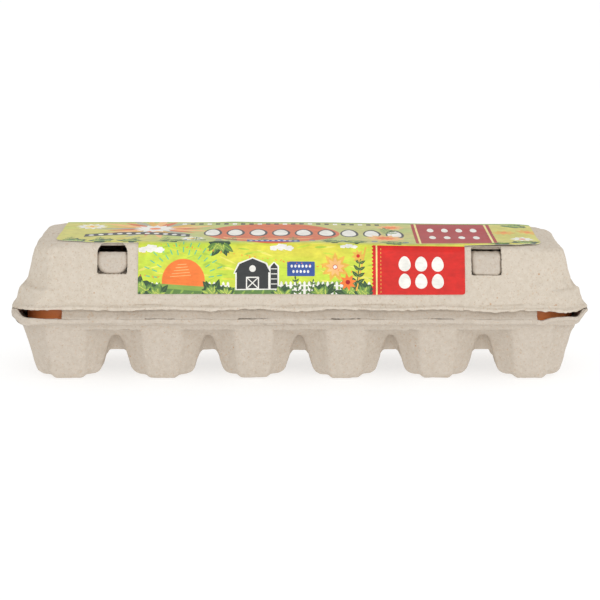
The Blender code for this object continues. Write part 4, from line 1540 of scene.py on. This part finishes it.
def build_label(material):
    """The printed sheet, bent over the lid's front edge, following how the lid has settled."""
    profile = label_profile()
    steps = np.linalg.norm(np.diff(profile, axis=0), axis=1)
    along = np.concatenate([[0], np.cumsum(steps)])
    art = Print()
    print_front(art)
    print_top(art)
    spacing = 2.2 * MM
    folds = np.arange(LABEL_FOLDS_FROM, LABEL_FOLDS_TO, MM)
    flat, triangles, top_shape = cut_sheet(label_outline(along[-1]), art.shapes, spacing, folds)
    on_front = np.clip(1 - flat[:, 1] / FRONT_PANEL_TOP, 0, 1)
    tilt = np.interp(flat[:, 0] / LABEL_FRONT_HALF_LENGTH, [-1, 1], [-LABEL_LEFT_DROP, LABEL_RIGHT_RISE])
    ground = background_ink(flat)
    flat[:, 1] += tilt * on_front
    slope = np.gradient(profile, along, axis=0)
    y = np.interp(flat[:, 1], along, profile[:, 0])
    z = np.interp(flat[:, 1], along, profile[:, 1])
    turn_y = -np.interp(flat[:, 1], along, slope[:, 1])
    turn_z = np.interp(flat[:, 1], along, slope[:, 0])
    out = np.column_stack([0 * y, turn_y, turn_z])
    points = settle(np.column_stack([flat[:, 0] + LABEL_SHIFT, y, z]))
    ripple = 0.07 * MM * (1 + random_field(points, 26 * MM, LABEL_SEED))
    from_end = (LABEL_HALF_LENGTH - flat[:, 0]) / LABEL_CURL_LENGTH
    over_front = (flat[:, 1] - FRONT_PANEL_TOP) / LABEL_CURL_DEPTH
    right_end = np.clip(1 - np.abs(from_end - 0.45) * 1.4, 0, 1)
    curl = LABEL_CURL * smoothstep(1.15 - np.abs(over_front)) * right_end
    front = points + out * np.clip(ripple + curl, 0.02 * MM, None)[:, None]
    back = front - out * PAPER_THICKNESS
    faces = sheet_faces(triangles, len(flat))
    label = new_piece("printed_label", np.concatenate([front, back]), faces, material)
    label.data.set_sharp_from_angle(angle=math.radians(50))
    paint(label, triangles, [art.inks[shape] if shape >= 0 else None for shape in top_shape], ground)
    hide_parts("label")
    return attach(label, "lid")


# The eggs and the fold


def build_egg(node, material):
    """One egg, as large as its solid and where that stands, with its broad end up."""
    low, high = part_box(node)
    middle = (low + high) / 2
    half_height = (high.z - low.z) / 2
    radius = (high.x - low.x + high.y - low.y) / 4
    segments = 56
    rings = 44
    points = [(middle.x, middle.y, low.z)]
    for k in range(1, rings):
        turn = math.pi * k / rings
        reach = radius / EGG_WIDEST * math.sin(turn) * (1 - EGG_TAPER * math.cos(turn))
        z = middle.z - half_height * math.cos(turn)
        for i in range(segments):
            points.append((*away(middle.x, middle.y, reach, 360 * i / segments), z))
    points.append((middle.x, middle.y, high.z))
    last = len(points) - 1
    faces = grid_faces(rings - 1, segments, 1, closed=True)
    top = 1 + (rings - 2) * segments
    for i in range(segments):
        after = (i + 1) % segments
        faces.append((0, 1 + after, 1 + i))
        faces.append((top + i, top + after, last))
    egg = new_piece("shell_" + node, points, faces, material)
    moved = pushed_out(egg.data, 0.03 * MM * random_field(vertex_values(egg.data), 9 * MM, EGG_SEED))
    end = round(middle.x / column_x(COLUMNS - 1), 2)
    if abs(end) == 1:
        moved[:, 0] += END_EGG_LEAN * end * (moved[:, 2] - low.z)
    set_positions(egg.data, moved)
    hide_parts(node)
    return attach(egg, "tray_with_eggs")


def build_fold(material):
    """The thin strip of pulp along the back that the lid turns on."""
    half = FOLD_THICKNESS / 2
    low = RIM_Z - 1.0 * MM
    high = LID_RIM_Z + 1.0 * MM
    line = smooth_line(
        [
            (LIP_HALF_DEPTH - 0.2 * MM, low),
            (LIP_HALF_DEPTH + 0.55 * MM, low + 0.4 * MM),
            (LIP_HALF_DEPTH + 0.75 * MM, (low + high) / 2),
            (LIP_HALF_DEPTH + 0.55 * MM, high - 0.4 * MM),
            (LIP_HALF_DEPTH - 0.2 * MM, high),
        ],
        0.25 * MM,
        3,
    )
    slope = np.gradient(line, axis=0)
    slope /= np.linalg.norm(slope, axis=1)[:, None]
    side = np.column_stack([slope[:, 1], -slope[:, 0]]) * half
    section = np.concatenate([line + side, (line - side)[::-1]])
    steps = 260
    xs = np.linspace(-FOLD_HALF_LENGTH, FOLD_HALF_LENGTH, steps + 1)
    points = []
    for x in xs:
        uneven = 0.1 * MM * math.sin(x / 0.0085) + 0.06 * MM * math.sin(x / 0.0031 + 1)
        points += [(x, y + uneven, z) for y, z in section]
    count = len(section)
    faces = grid_faces(steps + 1, count, closed=True)
    faces.append(tuple(range(count - 1, -1, -1)))
    faces.append(tuple(steps * count + k for k in range(count)))
    fold = new_piece("pulp_fold", points, faces, material)
    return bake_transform(fold)


# The stage


def build_stage():
    mesh = bpy.data.meshes.new("floor")
    corners = [(x * FLOOR_REACH, y * FLOOR_REACH, 0) for x, y in ((-1, -1), (1, -1), (1, 1), (-1, 1))]
    mesh.from_pydata(corners, [], [(0, 1, 2, 3)])
    mesh.materials.append(floor_material())
    floor = bpy.data.objects.new("floor", mesh)
    floor.location.z = -0.2 * MM
    bpy.context.scene.collection.objects.link(floor)


def build_world():
    """A bright, even surround, a little darker overhead and near the horizon."""
    world = bpy.data.worlds.new("surround")
    world.use_nodes = True
    tree = world.node_tree
    shader = tree.nodes["Background"]
    place = tree.nodes.new("ShaderNodeTexCoord").outputs["Generated"]
    split = tree.nodes.new("ShaderNodeSeparateXYZ")
    tree.links.new(place, split.inputs[0])
    height = remap(tree, split.outputs["Z"], 0.1, 0.9)
    color = mix(tree, height, (1.0, 1.0, 1.0, 1.0), (OVERHEAD, OVERHEAD, OVERHEAD, 1.0))
    leftward = remap(tree, split.outputs["X"], -0.3, -0.9)
    color = mix(tree, multiply(tree, leftward, LEFT_SHADE), color, (0.0, 0.0, 0.0, 1.0))
    tree.links.new(color, shader.inputs["Color"])
    strength = remap(tree, split.outputs["Z"], 0.0, 0.35, HORIZON * SURROUND, SURROUND)
    tree.links.new(strength, shader.inputs["Strength"])
    bpy.context.scene.world = world


def facing(place, target):
    """The rotation of a light or a camera that looks from a place at a target."""
    return (Vector(target) - Vector(place)).to_track_quat("-Z", "Y").to_euler()


def add_light(name, location, size, power):
    data = bpy.data.lights.new(name, "AREA")
    data.shape = "RECTANGLE"
    data.size, data.size_y = size
    data.energy = power
    light = bpy.data.objects.new(name, data)
    light.location = location
    light.rotation_euler = facing(location, LIGHT_TARGET)
    bpy.context.scene.collection.objects.link(light)


def build_camera():
    data = bpy.data.cameras.new("camera")
    data.sensor_width = 36.0
    data.lens = CAMERA_LENS
    data.clip_start = 0.05
    data.clip_end = 50.0
    camera = bpy.data.objects.new("camera", data)
    camera.location = CAMERA_PLACE
    camera.rotation_euler = facing(CAMERA_PLACE, CAMERA_AIM)
    bpy.context.scene.collection.objects.link(camera)
    bpy.context.scene.camera = camera


def main():
    build_camera()
    tray_pulp = pulp_material("tray_pulp", TRAY_TONE)
    # The lid's pulp is a lighter copy of the tray's: painted light.
    lid_pulp = pulp_material("lid_pulp", LID_TONE_PAINTED_LIGHTER)
    build_tray(tray_pulp)
    build_flap(tray_pulp)
    build_lid(lid_pulp)
    build_label(paper_material())
    shell = eggshell_material()
    for side in ("front", "back"):
        for column in range(COLUMNS):
            build_egg(f"egg_{side}_{column + 1}", shell)
    build_fold(tray_pulp)
    build_stage()
    build_world()
    add_light("front_softbox", *FRONT_LIGHT)
    add_light("side_softbox", *SIDE_LIGHT)
    bpy.context.scene.view_settings.view_transform = "Standard"


main()
